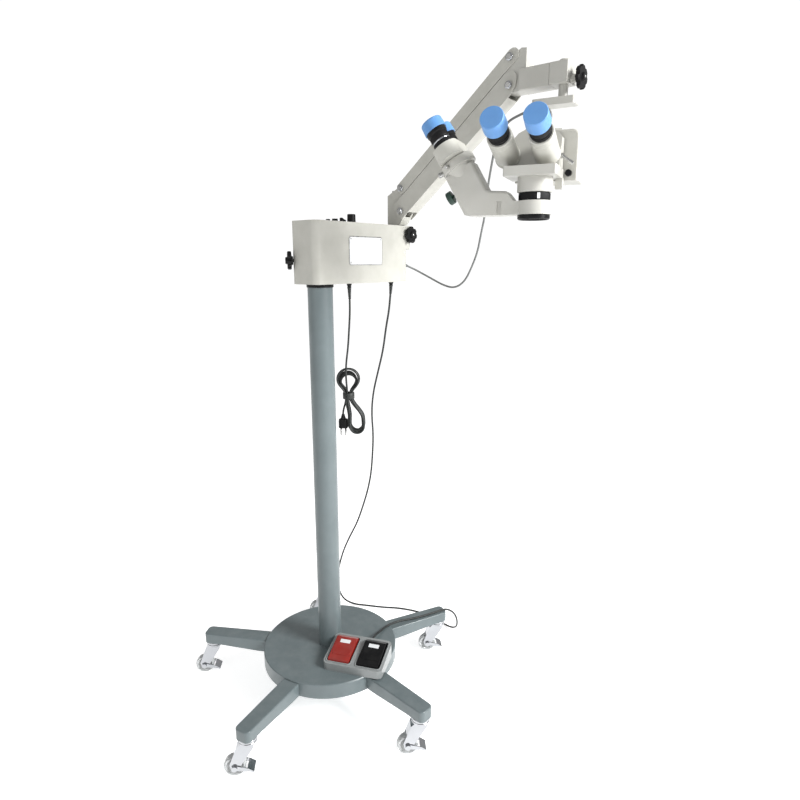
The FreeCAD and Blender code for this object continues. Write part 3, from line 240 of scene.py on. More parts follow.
def hank_route(turns, pitch, waist, upper, lower):
    """Loops one behind the other. waist is (x, y, z), upper (half width, height), lower (x, half, depth)."""
    x0, y0, z0 = waist
    half_up, up = upper
    x1, half_down, down = lower
    route = []
    for k in range(turns):
        inner = k % 2 == 1
        row = y0 + (k // 2 - 1.5) * pitch
        deep = y0 + 2 + (k - (turns - 1) / 2) * pitch
        left = x0 - (1.5 if inner else 0.5) * pitch
        right = x0 + (0.5 if inner else 1.5) * pitch
        low_x = x1 if inner else x1 + 4
        foot = z0 - down + 5 * math.sin(1.7 * k) ** 2
        knee = foot + half_down * 1.4 + 20
        wide = half_up - (6.5 if inner else 0) - math.sin(1.9 * k) ** 2
        mid = x0 + (2 if inner else 1) * math.sin(2.2 * k)
        top = z0 + up - (11 if inner else 0) - 5 * math.sin(1.3 * k) ** 2
        route += [(left, row, z0 + 12), (left, row, z0 - 12), (low_x - half_down + 1, deep, knee)]
        route += fold(low_x, deep, foot + half_down, half_down, -1)
        route += [(low_x + half_down - 2, deep, knee), (right, row, z0 - 12), (right, row, z0 + 12)]
        route += fold(mid, deep, top - wide, wide, 1)
    return route


hank_turns, strand_pitch = 7, 5.2
waist = (55.5, 84.7, 798)
mains_route = [
    spot(box_place, 100, 0, 1078), (64, 80, 1026), (60, 84, 972), (57, 77, 925), (52, 67, 886),
    (51, 65, 850),
]
mains_route += hank_route(hank_turns, strand_pitch, waist, upper=(27.5, 73), lower=(73, 18.3, 99))
mains_route += [(47.7, 92.5, 810), (47.7, 92.5, 781), (40, 84, 757.5), (40, 84, 748)]
mains_lead = cord_curve("Mains_lead", mains_route, 5, "control_box")
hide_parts("power_cord", "power_cord_hank")
print("mains lead:", len(mains_route), "points")

# %% [markdown]
# Every finish shares a few effects: fine grain, slow blotches, dust on faces that look up, and a tone
# along edges that is partly paint wear and partly a painted edge highlight. Each effect is one shader
# node group, built once, with its own inputs.
# The materials then place the groups with their own values.

# %% Node helper
def add_node(tree, kind, inputs=None, **settings):
    """One shader node: inputs are numbers, colours or another node's output."""
    made = tree.nodes.new(kind)
    for name, value in settings.items():
        setattr(made, name, value)
    for name, value in (inputs or {}).items():
        socket = made.inputs[name]
        if isinstance(value, bpy.types.NodeSocket):
            tree.links.new(value, socket)
        else:
            socket.default_value = value
    return made


def new_effect(name, inputs, outputs):
    """An empty node group with named number inputs and outputs."""
    tree = bpy.data.node_groups.new(name, "ShaderNodeTree")
    for label, start in inputs.items():
        socket = tree.interface.new_socket(label, in_out="INPUT", socket_type="NodeSocketFloat")
        socket.default_value = start
    for label in outputs:
        tree.interface.new_socket(label, in_out="OUTPUT", socket_type="NodeSocketFloat")
    return tree, tree.nodes.new("NodeGroupInput"), tree.nodes.new("NodeGroupOutput")


print("helpers for shader nodes are ready")

# %% [markdown]
# Grain is the fine orange peel of sprayed paint, or the sand skin of a casting. It is noise in the
# object's own coordinates, so it keeps its size on every part.

# %% Grain effect
grain_effect, group_in, group_out = new_effect(
    "Fine grain", {"Scale": 700, "Roundness": 0.5}, ["Height", "Value"])
where = add_node(grain_effect, "ShaderNodeTexCoord")
fine = add_node(grain_effect, "ShaderNodeTexNoise", {
    "Vector": where.outputs["Object"], "Scale": group_in.outputs["Scale"], "Detail": 2.5,
    "Roughness": group_in.outputs["Roundness"]})
grain_effect.links.new(fine.outputs["Fac"], group_out.inputs["Height"])
slow_scale = add_node(grain_effect, "ShaderNodeMath", {0: group_in.outputs["Scale"], 1: 0.03},
                      operation="MULTIPLY")
slow = add_node(grain_effect, "ShaderNodeTexNoise", {
    "Vector": where.outputs["Object"], "Scale": slow_scale.outputs[0], "Detail": 3.0})
grain_effect.links.new(slow.outputs["Fac"], group_out.inputs["Value"])
print("effect:", grain_effect.name)

# %% Dust effect
dust_effect, group_in, group_out = new_effect("Settled dust", {"Scale": 40, "Amount": 0.3}, ["Mask"])
where = add_node(dust_effect, "ShaderNodeTexCoord")
side = add_node(dust_effect, "ShaderNodeNewGeometry")
split = add_node(dust_effect, "ShaderNodeSeparateXYZ", {"Vector": side.outputs["Normal"]})
upward = add_node(dust_effect, "ShaderNodeMapRange", {
    "Value": split.outputs["Z"], "From Min": 0.25, "From Max": 0.95, "To Min": 0.12, "To Max": 1.0})
patches = add_node(dust_effect, "ShaderNodeTexNoise", {
    "Vector": where.outputs["Object"], "Scale": group_in.outputs["Scale"], "Detail": 5.0, "Roughness": 0.65})
spread = add_node(dust_effect, "ShaderNodeMapRange", {
    "Value": patches.outputs["Fac"], "From Min": 0.42, "From Max": 0.72, "To Min": 0.0, "To Max": 1.0})
lying = add_node(dust_effect, "ShaderNodeMath", {0: upward.outputs[0], 1: spread.outputs[0]},
                 operation="MULTIPLY")
shown = add_node(dust_effect, "ShaderNodeMath", {0: lying.outputs[0], 1: group_in.outputs["Amount"]},
                 operation="MULTIPLY", use_clamp=True)
dust_effect.links.new(shown.outputs[0], group_out.inputs["Mask"])
print("effect:", dust_effect.name)

# %% [markdown]
# Edges are found by comparing the true normal with a normal that is rounded off over a small radius.
# They differ only near an edge, so their difference is a mask for paint wear and for a painted edge
# highlight.

# %% Edge effect
# The edge tone is partly paint wear and partly a painted edge highlight: on most finishes it is lighter than
# the paint.
edge_wear_and_highlight_effect, group_in, group_out = new_effect(
    "Rubbed edge", {"Radius": 0.0012, "Scale": 120, "Amount": 0.6}, ["Mask"])
where = add_node(edge_wear_and_highlight_effect, "ShaderNodeTexCoord")
side = add_node(edge_wear_and_highlight_effect, "ShaderNodeNewGeometry")
soft = add_node(edge_wear_and_highlight_effect, "ShaderNodeBevel", {"Radius": group_in.outputs["Radius"]}, samples=4)
alike = add_node(edge_wear_and_highlight_effect, "ShaderNodeVectorMath", {0: side.outputs["Normal"], 1: soft.outputs["Normal"]},
                 operation="DOT_PRODUCT")
near = add_node(edge_wear_and_highlight_effect, "ShaderNodeMapRange", {
    "Value": alike.outputs["Value"], "From Min": 0.99, "From Max": 0.80, "To Min": 0.0, "To Max": 1.0})
broken = add_node(edge_wear_and_highlight_effect, "ShaderNodeTexNoise", {
    "Vector": where.outputs["Object"], "Scale": group_in.outputs["Scale"], "Detail": 4.0})
patchy = add_node(edge_wear_and_highlight_effect, "ShaderNodeMapRange", {
    "Value": broken.outputs["Fac"], "From Min": 0.40, "From Max": 0.62, "To Min": 0.0, "To Max": 1.0})
patchy_edge_wear_and_highlight = add_node(edge_wear_and_highlight_effect, "ShaderNodeMath", {0: near.outputs[0], 1: patchy.outputs[0]},
                  operation="MULTIPLY")
edge_wear_and_highlight_mask = add_node(edge_wear_and_highlight_effect, "ShaderNodeMath", {0: patchy_edge_wear_and_highlight.outputs[0], 1: group_in.outputs["Amount"]},
                operation="MULTIPLY", use_clamp=True)
edge_wear_and_highlight_effect.links.new(edge_wear_and_highlight_mask.outputs[0], group_out.inputs["Mask"])
print("effect:", edge_wear_and_highlight_effect.name)

# %% [markdown]
# A finish is one Principled shader fed by the effects. The base colour shifts slowly between two
# near tones, takes a little dust on top, and shows another tone along edges that is partly paint wear
# and partly a painted edge highlight. Roughness follows the same slow noise, so highlights are never
# perfectly even.

# %% Finish recipe
def finish(name, colour, tone, rough, grain, dust=(0.0, (0.6, 0.58, 0.54)), edge=(0.0, (0.5, 0.5, 0.5)),
           metal=0.0, coat=0.0, coat_rough=0.1, sheen=0.0, shine=0.5):
    """rough is (low, high), grain is (scale, depth in metres), dust and edge are (amount, colour)."""
    made = bpy.data.materials.new(name)
    made.use_nodes = True
    tree = made.node_tree
    tree.nodes.clear()
    out = add_node(tree, "ShaderNodeOutputMaterial")
    skin = add_node(tree, "ShaderNodeGroup", node_tree=grain_effect)
    skin.inputs["Scale"].default_value = grain[0]
    base = add_node(tree, "ShaderNodeMix", data_type="RGBA")
    base.inputs["A"].default_value, base.inputs["B"].default_value = (*colour, 1), (*tone, 1)
    blotch = add_node(tree, "ShaderNodeMapRange", {
        "Value": skin.outputs["Value"], "From Min": 0.35, "From Max": 0.65})
    tree.links.new(blotch.outputs[0], base.inputs["Factor"])
    layer = base.outputs["Result"]
    # Along edges the colour is mixed towards a tone that is partly paint wear and partly a painted highlight.
    for effect, (amount, over) in ((edge_wear_and_highlight_effect, edge), (dust_effect, dust)):
        if amount <= 0:
            continue
        mask = add_node(tree, "ShaderNodeGroup", node_tree=effect)
        mask.inputs["Amount"].default_value = amount
        mixed = add_node(tree, "ShaderNodeMix", {"Factor": mask.outputs["Mask"]}, data_type="RGBA")
        tree.links.new(layer, mixed.inputs["A"])
        mixed.inputs["B"].default_value = (*over, 1)
        layer = mixed.outputs["Result"]
    gloss = add_node(tree, "ShaderNodeMapRange", {
        "Value": skin.outputs["Value"], "From Min": 0.3, "From Max": 0.7,
        "To Min": rough[0], "To Max": rough[1]})
    relief = add_node(tree, "ShaderNodeBump", {
        "Height": skin.outputs["Height"], "Strength": 0.6, "Distance": grain[1]})
    shader = add_node(tree, "ShaderNodeBsdfPrincipled", {
        "Base Color": layer, "Roughness": gloss.outputs[0], "Normal": relief.outputs["Normal"],
        "Metallic": metal, "Coat Weight": coat, "Coat Roughness": coat_rough, "Sheen Weight": sheen,
        "Specular IOR Level": shine})
    tree.links.new(shader.outputs["BSDF"], out.inputs["Surface"])
    return made


# The edge colours here are mostly lighter than the paint: partly wear, partly a painted edge highlight.
cream_paint = finish("Cream powder coat", (0.46, 0.455, 0.415), (0.42, 0.415, 0.375), (0.34, 0.44),
                     (900, 0.00004), dust=(0.25, (0.36, 0.35, 0.31)), edge=(0.5, (0.58, 0.575, 0.54)),
                     coat=0.15, coat_rough=0.3)
cream_casting = finish("Cream enamel on castings", (0.47, 0.465, 0.43), (0.43, 0.425, 0.39), (0.30, 0.42),
                       (420, 0.00009), dust=(0.3, (0.36, 0.35, 0.31)), edge=(0.55, (0.60, 0.595, 0.56)),
                       coat=0.25, coat_rough=0.25)
grey_paint = finish("Blue grey enamel", (0.122, 0.152, 0.158), (0.108, 0.136, 0.142), (0.30, 0.42),
                    (600, 0.00006), dust=(0.25, (0.22, 0.24, 0.24)), edge=(0.55, (0.29, 0.33, 0.34)),
                    coat=0.2, coat_rough=0.3)
black_plastic = finish("Black moulded plastic", (0.003, 0.003, 0.0035), (0.005, 0.005, 0.0055), (0.30, 0.46),
                       (1100, 0.00004), dust=(0.06, (0.10, 0.10, 0.09)), edge=(0.3, (0.04, 0.04, 0.04)),
                       shine=0.2)
black_rubber = finish("Black ribbed rubber", (0.004, 0.004, 0.0045), (0.006, 0.006, 0.0065), (0.42, 0.6),
                      (1600, 0.00003), dust=(0.08, (0.09, 0.09, 0.08)), shine=0.2)
chrome_plate = finish("Bright chrome", (0.50, 0.51, 0.53), (0.42, 0.43, 0.45), (0.08, 0.18), (250, 0.00001),
                      dust=(0.15, (0.25, 0.25, 0.25)), metal=1.0)
turned_steel = finish("Turned steel", (0.50, 0.50, 0.49), (0.42, 0.42, 0.41), (0.22, 0.36), (1500, 0.00002),
                      metal=1.0)
print("finishes:", len(bpy.data.materials))

# %% [markdown]
# Plastics differ mostly in colour and in how they scatter light. The red pedal is a deep satin red,
# the caps are a soft blue that lets a little light in, and the wheels are clear and hard.

# %% Plastics, rubber and glass
red_plastic = finish("Red pedal plastic", (0.28, 0.014, 0.008), (0.22, 0.011, 0.006), (0.28, 0.42),
                     (800, 0.00005), dust=(0.15, (0.3, 0.12, 0.10)), edge=(0.4, (0.45, 0.06, 0.04)),
                     coat=0.3, coat_rough=0.3)
green_plastic = finish("Dark green knob plastic", (0.012, 0.050, 0.034), (0.008, 0.036, 0.024), (0.3, 0.45),
                       (900, 0.00005), edge=(0.3, (0.05, 0.12, 0.09)))
blue_soft = finish("Soft blue cap", (0.115, 0.285, 0.590), (0.095, 0.250, 0.530), (0.42, 0.56),
                   (500, 0.00008), edge=(0.5, (0.20, 0.40, 0.70)), sheen=0.1)
blue_shader = next(n for n in blue_soft.node_tree.nodes if n.type == "BSDF_PRINCIPLED")
blue_shader.inputs["Subsurface Weight"].default_value = 0.15
blue_shader.inputs["Subsurface Radius"].default_value = (0.002, 0.004, 0.008)
clear_wheel = finish("Clear wheel tread", (0.80, 0.82, 0.82), (0.72, 0.74, 0.75), (0.12, 0.24),
                     (300, 0.00003), dust=(0.3, (0.5, 0.49, 0.46)), coat=0.4)
wheel_shader = next(n for n in clear_wheel.node_tree.nodes if n.type == "BSDF_PRINCIPLED")
wheel_shader.inputs["Transmission Weight"].default_value = 0.55
lead_rubber = finish("Black lead sheath", (0.009, 0.012, 0.0115), (0.016, 0.019, 0.018), (0.42, 0.58),
                     (1500, 0.00003), dust=(0.2, (0.12, 0.12, 0.11)))
grey_sheath = finish("Grey lead sheath", (0.125, 0.13, 0.128), (0.16, 0.165, 0.162), (0.40, 0.55),
                     (1500, 0.00003))
hammered_grey = finish("Grey switch housing", (0.25, 0.265, 0.265), (0.20, 0.215, 0.215), (0.28, 0.40),
                       (260, 0.00015), dust=(0.25, (0.32, 0.32, 0.31)), edge=(0.6, (0.45, 0.46, 0.455)),
                       coat=0.2, coat_rough=0.25)
plate_white = finish("Bare label plate", (0.72, 0.73, 0.74), (0.66, 0.67, 0.68), (0.25, 0.35), (700, 0.00002),
                     edge=(0.4, (0.45, 0.46, 0.47)))
lens_glass = bpy.data.materials.new("Coated lens glass")
lens_glass.use_nodes = True
lens_shader = lens_glass.node_tree.nodes["Principled BSDF"]
lens_shader.inputs["Base Color"].default_value = (0.75, 0.85, 0.90, 1)
lens_shader.inputs["Roughness"].default_value = 0.03
lens_shader.inputs["Transmission Weight"].default_value = 1.0
lens_shader.inputs["Coat Weight"].default_value = 0.6
lens_shader.inputs["Coat Tint"].default_value = (0.65, 0.55, 0.95, 1)
print("finishes:", len(bpy.data.materials))

# %% [markdown]
# The CAD parts keep their shapes and only get their finish. One table says which part has which.

# %% Finishes on the CAD parts
FINISHES = {
    "cream_paint": (cream_paint, ["control_box_cover", "upper_link", "lower_link", "arm_post", "left_tube",
                                  "right_tube", "assistant_binocular", "focus_housing"]),
    "cream_casting": (cream_casting, ["end_bracket", "head_block", "assistant_arm", "control_box_chassis",
                                      "suspension_link"]),
    "grey_paint": (grey_paint, ["base_disc", "legs", "column"]),
    "black": (black_plastic, ["column_lock_knob", "arm_lock_knob", "shaft_lock_knob", "power_switch",
                              "dimmer_knob", "index_ring", "objective_barrel", "left_eyepiece",
                              "right_eyepiece", "assistant_eyepieces", "box_fittings",
                              "lamp_change_knob", "foot_switch_fittings", "power_supply", "black_pedal",
                              "power_plug"]),
    "chrome": (chrome_plate, ["caster_mounts"] + [f"caster_fork_{i}" for i in range(1, 6)]),
    "steel": (turned_steel, ["column_spindle", "upper_pivot_pins", "lower_pivot_pins", "balance_spring",
                             "filter_lever", "assistant_clamp_screws"]),
    "wheel": (clear_wheel, [f"caster_wheel_{i}" for i in range(1, 6)]),
    "red": (red_plastic, ["red_pedal"]),
    "green": (green_plastic, ["assistant_knob"]),
    "blue": (blue_soft, ["left_cap", "right_cap", "assistant_caps"]),
    "switch": (hammered_grey, ["foot_switch_case"]),
    "glass": (lens_glass, ["objective_lens"]),
}
for material, members in FINISHES.values():
    for member in members:
        part = nodes[member]
        for held in part.material_slots:
            held.material = material
        if not part.material_slots:
            part.data.materials.append(material)
for lead, material in ((switch_lead, lead_rubber), (mains_lead, lead_rubber), (lamp_lead, grey_sheath)):
    lead.data.materials.append(material)
print("dressed", sum(len(members) for _, members in FINISHES.values()), "CAD parts")
floor_white = bpy.data.materials.new("Studio floor white")
floor_white.use_nodes = True
floor_shader = floor_white.node_tree.nodes["Principled BSDF"]
floor_shader.inputs["Base Color"].default_value = (0.92, 0.92, 0.92, 1)
floor_shader.inputs["Roughness"].default_value = 0.9
floor_shader.inputs["Emission Color"].default_value = (1.0, 1.0, 1.0, 1)
floor_shader.inputs["Emission Strength"].default_value = 0.6
floor_mesh.materials.append(floor_white)
print("floor has its finish")

# %% [markdown]
# A piece made here is a mesh with its own place. Round pieces are turned from an outline, as on a
# lathe. Flat pieces are an outline with a thickness and a bevel, so that their edges catch light.

# %% Mesh helpers
def new_piece(name, points, faces, matrix, material, body, smooth=True):
    """A mesh piece from points in millimetres in its own place."""
    mesh = bpy.data.meshes.new(name)
    mesh.from_pydata([tuple(matrix @ (Vector(p) * MM)) for p in points], [], faces)
    mesh.validate()
    if smooth:
        mesh.polygons.foreach_set("use_smooth", [True] * len(mesh.polygons))
    mesh.materials.append(material)
    piece = bpy.data.objects.new(name, mesh)
    bpy.context.scene.collection.objects.link(piece)
    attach(piece, body)
    return piece


def soften(piece, width, segments=2, angle=35):
    """Bevels the piece's sharp edges and keeps its flats flat."""
    bevel = piece.modifiers.new("Bevel", "BEVEL")
    bevel.width, bevel.segments, bevel.angle_limit = width * MM, segments, math.radians(angle)
    bevel.harden_normals = True
    return piece


def turned_piece(name, outline, matrix, material, body, steps=64, wave=None):
    """Turns (radius, height) points about the local Z axis; wave(angle, height) scales the radius."""
    points, faces = [], []
    for k in range(steps):
        angle = 2 * math.pi * k / steps
        for radius, height in outline:
            r = radius * (wave(angle, height) if wave else 1)
            points.append((r * math.cos(angle), r * math.sin(angle), height))
    n = len(outline)
    for k in range(steps):
        a, b = k * n, ((k + 1) % steps) * n
        for i in range(n - 1):
            faces.append((a + i, b + i, b + i + 1, a + i + 1))
    return new_piece(name, points, faces, matrix, material, body)


def slab(name, outline, low, high, matrix, material, body, bevel=0.4):
    """A flat outline in the local XY plane with a thickness along Z."""
    n = len(outline)
    points = [(x, y, low) for x, y in outline] + [(x, y, high) for x, y in outline]
    faces = [tuple(reversed(range(n))), tuple(range(n, 2 * n))]
    faces += [(i, (i + 1) % n, n + (i + 1) % n, n + i) for i in range(n)]
    return soften(new_piece(name, points, faces, matrix, material, body, smooth=False), bevel)


def oblong(width, height, corner, steps=5):
    """A rectangle with round corners about the origin."""
    points = []
    for cx, cy, start in ((1, 1, 0), (-1, 1, 90), (-1, -1, 180), (1, -1, 270)):
        for k in range(steps + 1):
            angle = math.radians(start + 90 * k / steps)
            points.append((cx * (width / 2 - corner) + corner * math.cos(angle),
                           cy * (height / 2 - corner) + corner * math.sin(angle)))
    return points


print("mesh helpers are ready")

# %% [markdown]
# A free lead has a length, a thickness, a far end and a way of lying. Only its length is measured
# here, along its own smooth line, so that it is true for the shape that the lead has.

# %% Lead facts
mains_length = line_length(centre_line(mains_lead))
lamp_length = line_length(centre_line(lamp_lead))

# %% [markdown]
# Where a lead leaves a housing, a soft tapered boot keeps it from kinking. It is turned from an
# outline with shallow ribs, hollow for the lead, and points the way that the lead goes.

# %% Strain reliefs
def boot(name, start, toward, radii, length, bore, body, material=None):
    """A ribbed hollow cone from start toward a point, radii at its foot and at its tip."""
    way = (Vector(toward) - Vector(start)).normalized()
    matrix = Matrix.Translation(Vector(start) * MM) @ way.to_track_quat("Z", "Y").to_matrix().to_4x4()
    ribs = 7
    outline = [(bore, 0), (radii[0], 0), (radii[0], length * 0.12)]
    for k in range(ribs):
        low = length * (0.16 + 0.80 * k / ribs)
        wide = radii[0] + (radii[1] - radii[0]) * (0.16 + 0.80 * k / ribs)
        rib = length * 0.8 / ribs
        outline += [(wide - 0.7, low), (wide - 0.7, low + rib * 0.35)]
        outline += [(wide, low + rib * 0.5), (wide, low + rib * 0.85)]
    outline += [(radii[1], length - 0.8), (radii[1] - 0.5, length), (bore, length), (bore, 0)]
    return turned_piece(name, outline, matrix, material or lead_rubber, body, steps=32)


boot("Mains_lead_boot", mains_route[0], mains_route[1], (5.2, 3.3), 30, 2.55, "control_box")
boot("Switch_lead_boot", switch_route[0], switch_route[1], (5.2, 3.5), 24, 2.8, "control_box")
boot("Switch_end_boot", switch_route[-1], switch_route[-2], (4.2, 3.5), 18, 2.8, "stand")
boot("Lamp_lead_boot", lamp_route[0], lamp_route[1], (4.6, 3.2), 16, 2.55, "control_box", grey_sheath)
print("boots: 4")

# %% [markdown]
# The plug is moulded: a rounded grip with finger ribs, and two round pins. The tie is a soft strap
# round the waist of the hank.

# %% Plug and tie
plug_place = place(40, 84, 0)
plug_pieces = [
    slab("Plug_body", oblong(24, 16, 6), 710, 735, plug_place, black_plastic, "control_box", bevel=2.2),
    turned_piece("Plug_neck", [(0, 735), (7.5, 735), (6.2, 739), (6.2, 740), (5.2, 741), (5.2, 743),
                               (4.4, 744), (4.4, 746), (3.6, 748), (0, 748)],
                 plug_place, black_plastic, "control_box", steps=32),
]
for number, height in enumerate((714.5, 718, 721.5, 725, 728.5), start=1):
    plug_pieces.append(slab(f"Plug_rib_{number}", oblong(25.2, 13, 5.5), height - 0.8, height + 0.8,
                            plug_place, black_plastic, "control_box", bevel=0.5))
for number, x in enumerate((-6, 6), start=1):
    plug_pieces.append(turned_piece(
        f"Plug_pin_{number}", [(0, 690.2), (1.4, 690.2), (2.2, 691.5), (2.2, 711), (0, 711)],
        plug_place @ shift(x, 0, 0), turned_steel, "control_box", steps=24))
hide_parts("power_plug")
tie_outline = [(13.6, -8), (14.5, -8), (14.9, -7.4), (14.9, 7.4), (14.5, 8), (13.6, 8), (13.6, -8)]
tie = turned_piece("Hank_tie", tie_outline, place(*waist), lead_rubber, "control_box", steps=40,
                   wave=lambda angle, height: 1 + 0.03 * math.cos(2 * angle))
print("plug pieces:", len(plug_pieces), "and a tie")

# %% [markdown]
# The rating plate on the box is left bare: a thin white face with round corners in a metal frame,
# held by four small domed rivets. The plates on the pedals are bare too.

# %% Rating plate
plate_place = box_place @ shift(115.5, -44, 1165) @ spin("x", 90)
slab("Rating_plate_frame", oblong(121, 68, 7), 0.05, 0.7, plate_place, turned_steel, "control_box",
     bevel=0.25)
slab("Rating_plate_face", oblong(117, 64, 5.5), 0.6, 1.0, plate_place, plate_white, "control_box", bevel=0.15)
for number, (x, y) in enumerate(((-54, -27.5), (54, -27.5), (54, 27.5), (-54, 27.5)), start=1):
    turned_piece(f"Plate_rivet_{number}", [(1.9, 0.9), (1.8, 1.4), (1.4, 1.8), (0.7, 2.0), (0.05, 2.05)],
                 plate_place @ shift(x, y, 0), turned_steel, "control_box", steps=24)
print("rating plate is on the box's side")

# %% Pedal pads and plates
pedal_tilt = math.degrees(math.atan2(16, 58))
for label, x, material in (("red_pedal", -39, red_plastic), ("black_pedal", 39, black_plastic)):
    pad_place = switch_place @ shift(x, -2, 38.0) @ spin("x", pedal_tilt)
    slab(f"{label}_pad", oblong(47, 50, 5), -0.4, 0.9, pad_place, material, label, bevel=0.5)
    slab(f"{label}_plate", oblong(27, 11, 1), 0.8, 1.5, pad_place @ shift(0, 16.5, 0), plate_white, label,
         bevel=0.2)
print("pedals have pads and bare plates")

# %% [markdown]
# Each bay of the switch housing has a raised lip round its pedal. It is a flat ring between two
# outlines, tipped like the top of the housing.

# %% Bay lips
def rim(name, outer, inner, low, high, matrix, material, body, bevel=0.5):
    """A flat ring between two outlines with the same count of points."""
    n = len(outer)
    points = [(x, y, z) for z in (low, high) for line in (outer, inner) for x, y in line]
    faces = []
    for i in range(n):
        j = (i + 1) % n
        faces += [(i, j, 2 * n + j, 2 * n + i), (n + j, n + i, 3 * n + i, 3 * n + j),
                  (2 * n + i, 2 * n + j, 3 * n + j, 3 * n + i), (j, i, n + i, n + j)]
    return soften(new_piece(name, points, faces, matrix, material, body, smooth=False), bevel)


case_tilt = math.degrees(math.atan2(18, 104))
for label, x in (("Left", -39), ("Right", 39)):
    rim(f"{label}_bay_lip", oblong(68, 95, 9), oblong(62.2, 89.6, 6.2), -1.0, 2.0,
        switch_place @ shift(x, 0, 29.0) @ spin("x", case_tilt), hammered_grey, "stand", bevel=0.9)
print("bay lips are on the switch housing")

# %% [markdown]
# Grips that a gloved hand turns have fine straight knurls. The outline is turned with a radius that
# ripples round the ring, so each knurl is real relief and catches its own line of light.

# %% Knurled rings
def knurled(name, radius, low, high, matrix, body, teeth=48, depth=0.45, material=None):
    def ripple(angle, height):
        inner = min(height - low, high - height) / 1.2
        return 1 + depth / radius * max(0.0, math.cos(teeth * angle)) * min(1.0, max(0.0, inner))
    outline = [(radius - 0.4, low), (radius, low + 0.4), (radius, low + 1.3), (radius, (low + high) / 2),
               (radius, high - 1.3), (radius, high - 0.4), (radius - 0.4, high)]
    return turned_piece(name, outline, matrix, material or black_rubber, body, steps=teeth * 4, wave=ripple)


tube_lean = 19
for label, x in (("left", -55.5), ("right", 18.5)):
    tube_place = head_place @ shift(x, 10.11, 1332.55) @ spin("x", 90 - tube_lean)
    knurled(f"{label}_eyepiece_band", 19.1, 78, 84, tube_place, f"{label}_eyepiece", teeth=36)
    knurled(f"{label}_dioptre_ring", 19.1, 88.6, 102, tube_place, f"{label}_eyepiece")
for side, label in ((-28, "near"), (28, "far")):
    tube_place = assist_place @ shift(0, side, 0)
    knurled(f"Assistant_{label}_grip", 18.1, 37.2, 45.4, tube_place, "assistant_binocular", teeth=44)
    knurled(f"Assistant_{label}_focus", 18.1, 50.8, 61, tube_place, "assistant_binocular")
    turned_piece(f"Assistant_{label}_band", [(17.1, 46.4), (17.6, 47), (17.6, 49), (17.1, 49.6)],
                 tube_place, chrome_plate, "assistant_binocular")
knurled("Index_grip", 28.8, 1251.5, 1263.5, head_place, "index_ring", teeth=72, depth=0.6)
print("knurled rings: 9")

# %% [markdown]
# The ring above the objective carries a small white field, a painted highlight where light catches
# the ring, and the objective itself has a thin black trim ring round the glass.

# %% Painted ring highlight and lens trim
# A small white slab on the index ring, placed as a painted highlight.
ring_highlight_seat = head_place @ spin("z", -64) @ shift(28.7, 0, 1257.5) @ spin("y", 90)
slab("Index_mark", oblong(10.5, 5.5, 0.6, steps=2), 0, 0.55, ring_highlight_seat, plate_white, "index_ring",
     bevel=0.15)
turned_piece("Lens_ring", [(25.9, 1216.6), (25.9, 1218.8), (24.4, 1220.2), (21.0, 1220.4), (21.0, 1219.6)],
             head_place, black_plastic, "head", steps=72)
print("painted ring highlight and lens trim are on")

# %% [markdown]
# Each star knob has a moulded cap in the middle of its face, and a small bright screw through it.

# %% Star knob caps
def knob_face(label, axis):
    """The place on a knob's face, where its own axis leaves it, with the axis along local Z."""
    knob = nodes[label]
    reach = max((axis.inverted() @ knob.matrix_world @ corner.co).x for corner in knob.data.vertices) / MM
    return axis @ shift(reach, 0, 0) @ spin("y", 90)


knob_axes = {
    "column_lock_knob": place(0, 0, 1142, 192.77),
    "arm_lock_knob": place(178.73, 220.71, 1208, -41.2),
    "shaft_lock_knob": place(550.42, -69.69, 1514, -38),
}
for label, axis in knob_axes.items():
    seat = knob_face(label, axis)
    turned_piece(f"{label}_cap", [(7.6, -0.6), (7.6, 0.8), (7.0, 1.6), (3.6, 1.9), (3.3, 1.1), (0.05, 1.1)],
                 seat, black_rubber, label, steps=48)
    turned_piece(f"{label}_screw", [(2.6, 0.9), (2.6, 1.5), (2.2, 1.9), (0.05, 2.0)], seat, turned_steel,
                 label, steps=32)
print("knob caps:", len(knob_axes))

# %% [markdown]
# The four pivots of the arm end in bright nuts over washers. A nut is a six-sided slab with its
# corners taken off, and the washer is a turned disc.

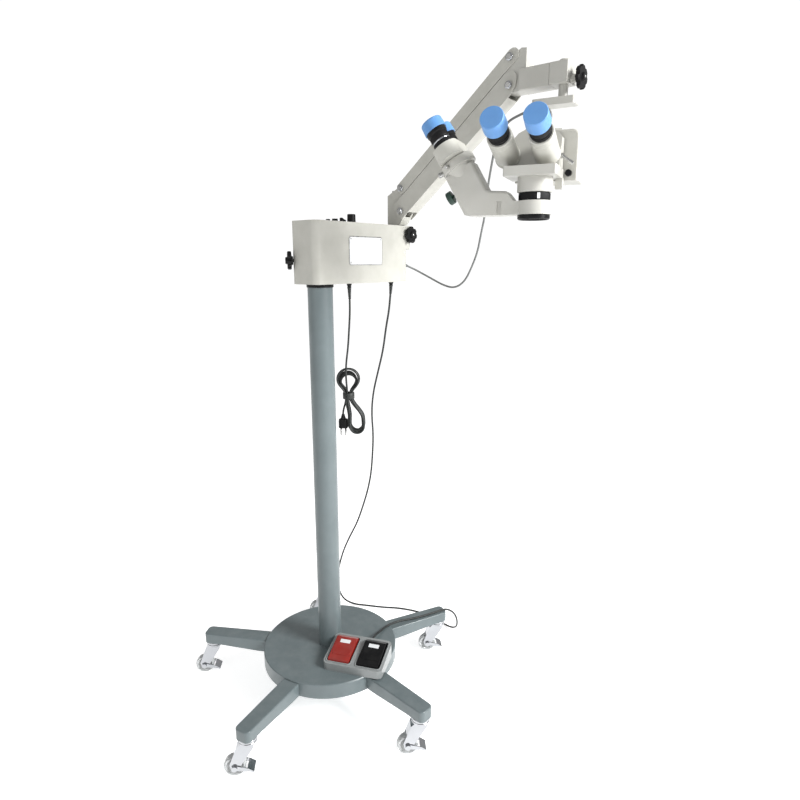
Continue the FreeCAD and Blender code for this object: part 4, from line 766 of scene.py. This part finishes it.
# %% Pivot nuts
upper_pivot, lower_pivot = 1324, 1267.5
pivot_spots = [
    (post_place, "post", pivot_reach, upper_pivot), (post_place, "post", pivot_reach, lower_pivot),
    (bracket_place, "bracket", 0, upper_pivot + arm_rise),
    (bracket_place, "bracket", 0, lower_pivot + arm_rise),
]
nut_radius = 5.9
for number, (base_place, body, x, z) in enumerate(pivot_spots, start=1):
    for side, label in ((-1, "front"), (1, "back")):
        seat = base_place @ shift(x, side * 26.35, z) @ spin("x", 90 * -side)
        turned_piece(f"Pivot_washer_{number}_{label}",
                     [(0.1, 0), (8.2, 0), (8.4, 0.3), (8.2, 0.9), (0.1, 0.9)],
                     seat, chrome_plate, body, steps=40)
        turns = [math.radians(60 * k + 17 * number) for k in range(6)]
        corners = [(nut_radius * math.cos(turn), nut_radius * math.sin(turn)) for turn in turns]
        slab(f"Pivot_nut_{number}_{label}", corners, 0.8, 4.4, seat, turned_steel, body, bevel=0.5)
print("pivot nuts:", 2 * len(pivot_spots))

# %% [markdown]
# Each caster wheel gets a grey hub cover on both sides, with a raised ring and a dimple for the axle.

# %% Wheel hubs
hub_grey = finish("Grey hub plastic", (0.30, 0.31, 0.31), (0.25, 0.26, 0.26), (0.35, 0.5), (900, 0.00004),
                  dust=(0.3, (0.4, 0.39, 0.36)))
hub_outline = [(4.2, 8.4), (9.8, 8.4), (10.4, 8.0), (16.6, 8.0), (17.2, 7.6), (17.2, 7.0), (4.2, 7.0),
               (4.2, 8.4)]
caster_reach, first_leg, caster_turn = 338, 170.9, 185
wheel_trail, wheel_radius = 31, 25
for number in range(1, 6):
    azimuth = math.radians(first_leg + 72 * (number - 1))
    caster_place = place(caster_reach * math.cos(azimuth), caster_reach * math.sin(azimuth), 0, caster_turn)
    wheel_place = caster_place @ shift(wheel_trail, 0, wheel_radius)
    for side, label in ((-1, "near"), (1, "far")):
        turned_piece(f"Wheel_hub_{number}_{label}", hub_outline, wheel_place @ spin("x", 90 * -side),
                     hub_grey, f"wheel_{number}", steps=48)
print("wheel hubs: 10")

# %% [markdown]

# %% Finish
print("the scene is dressed")
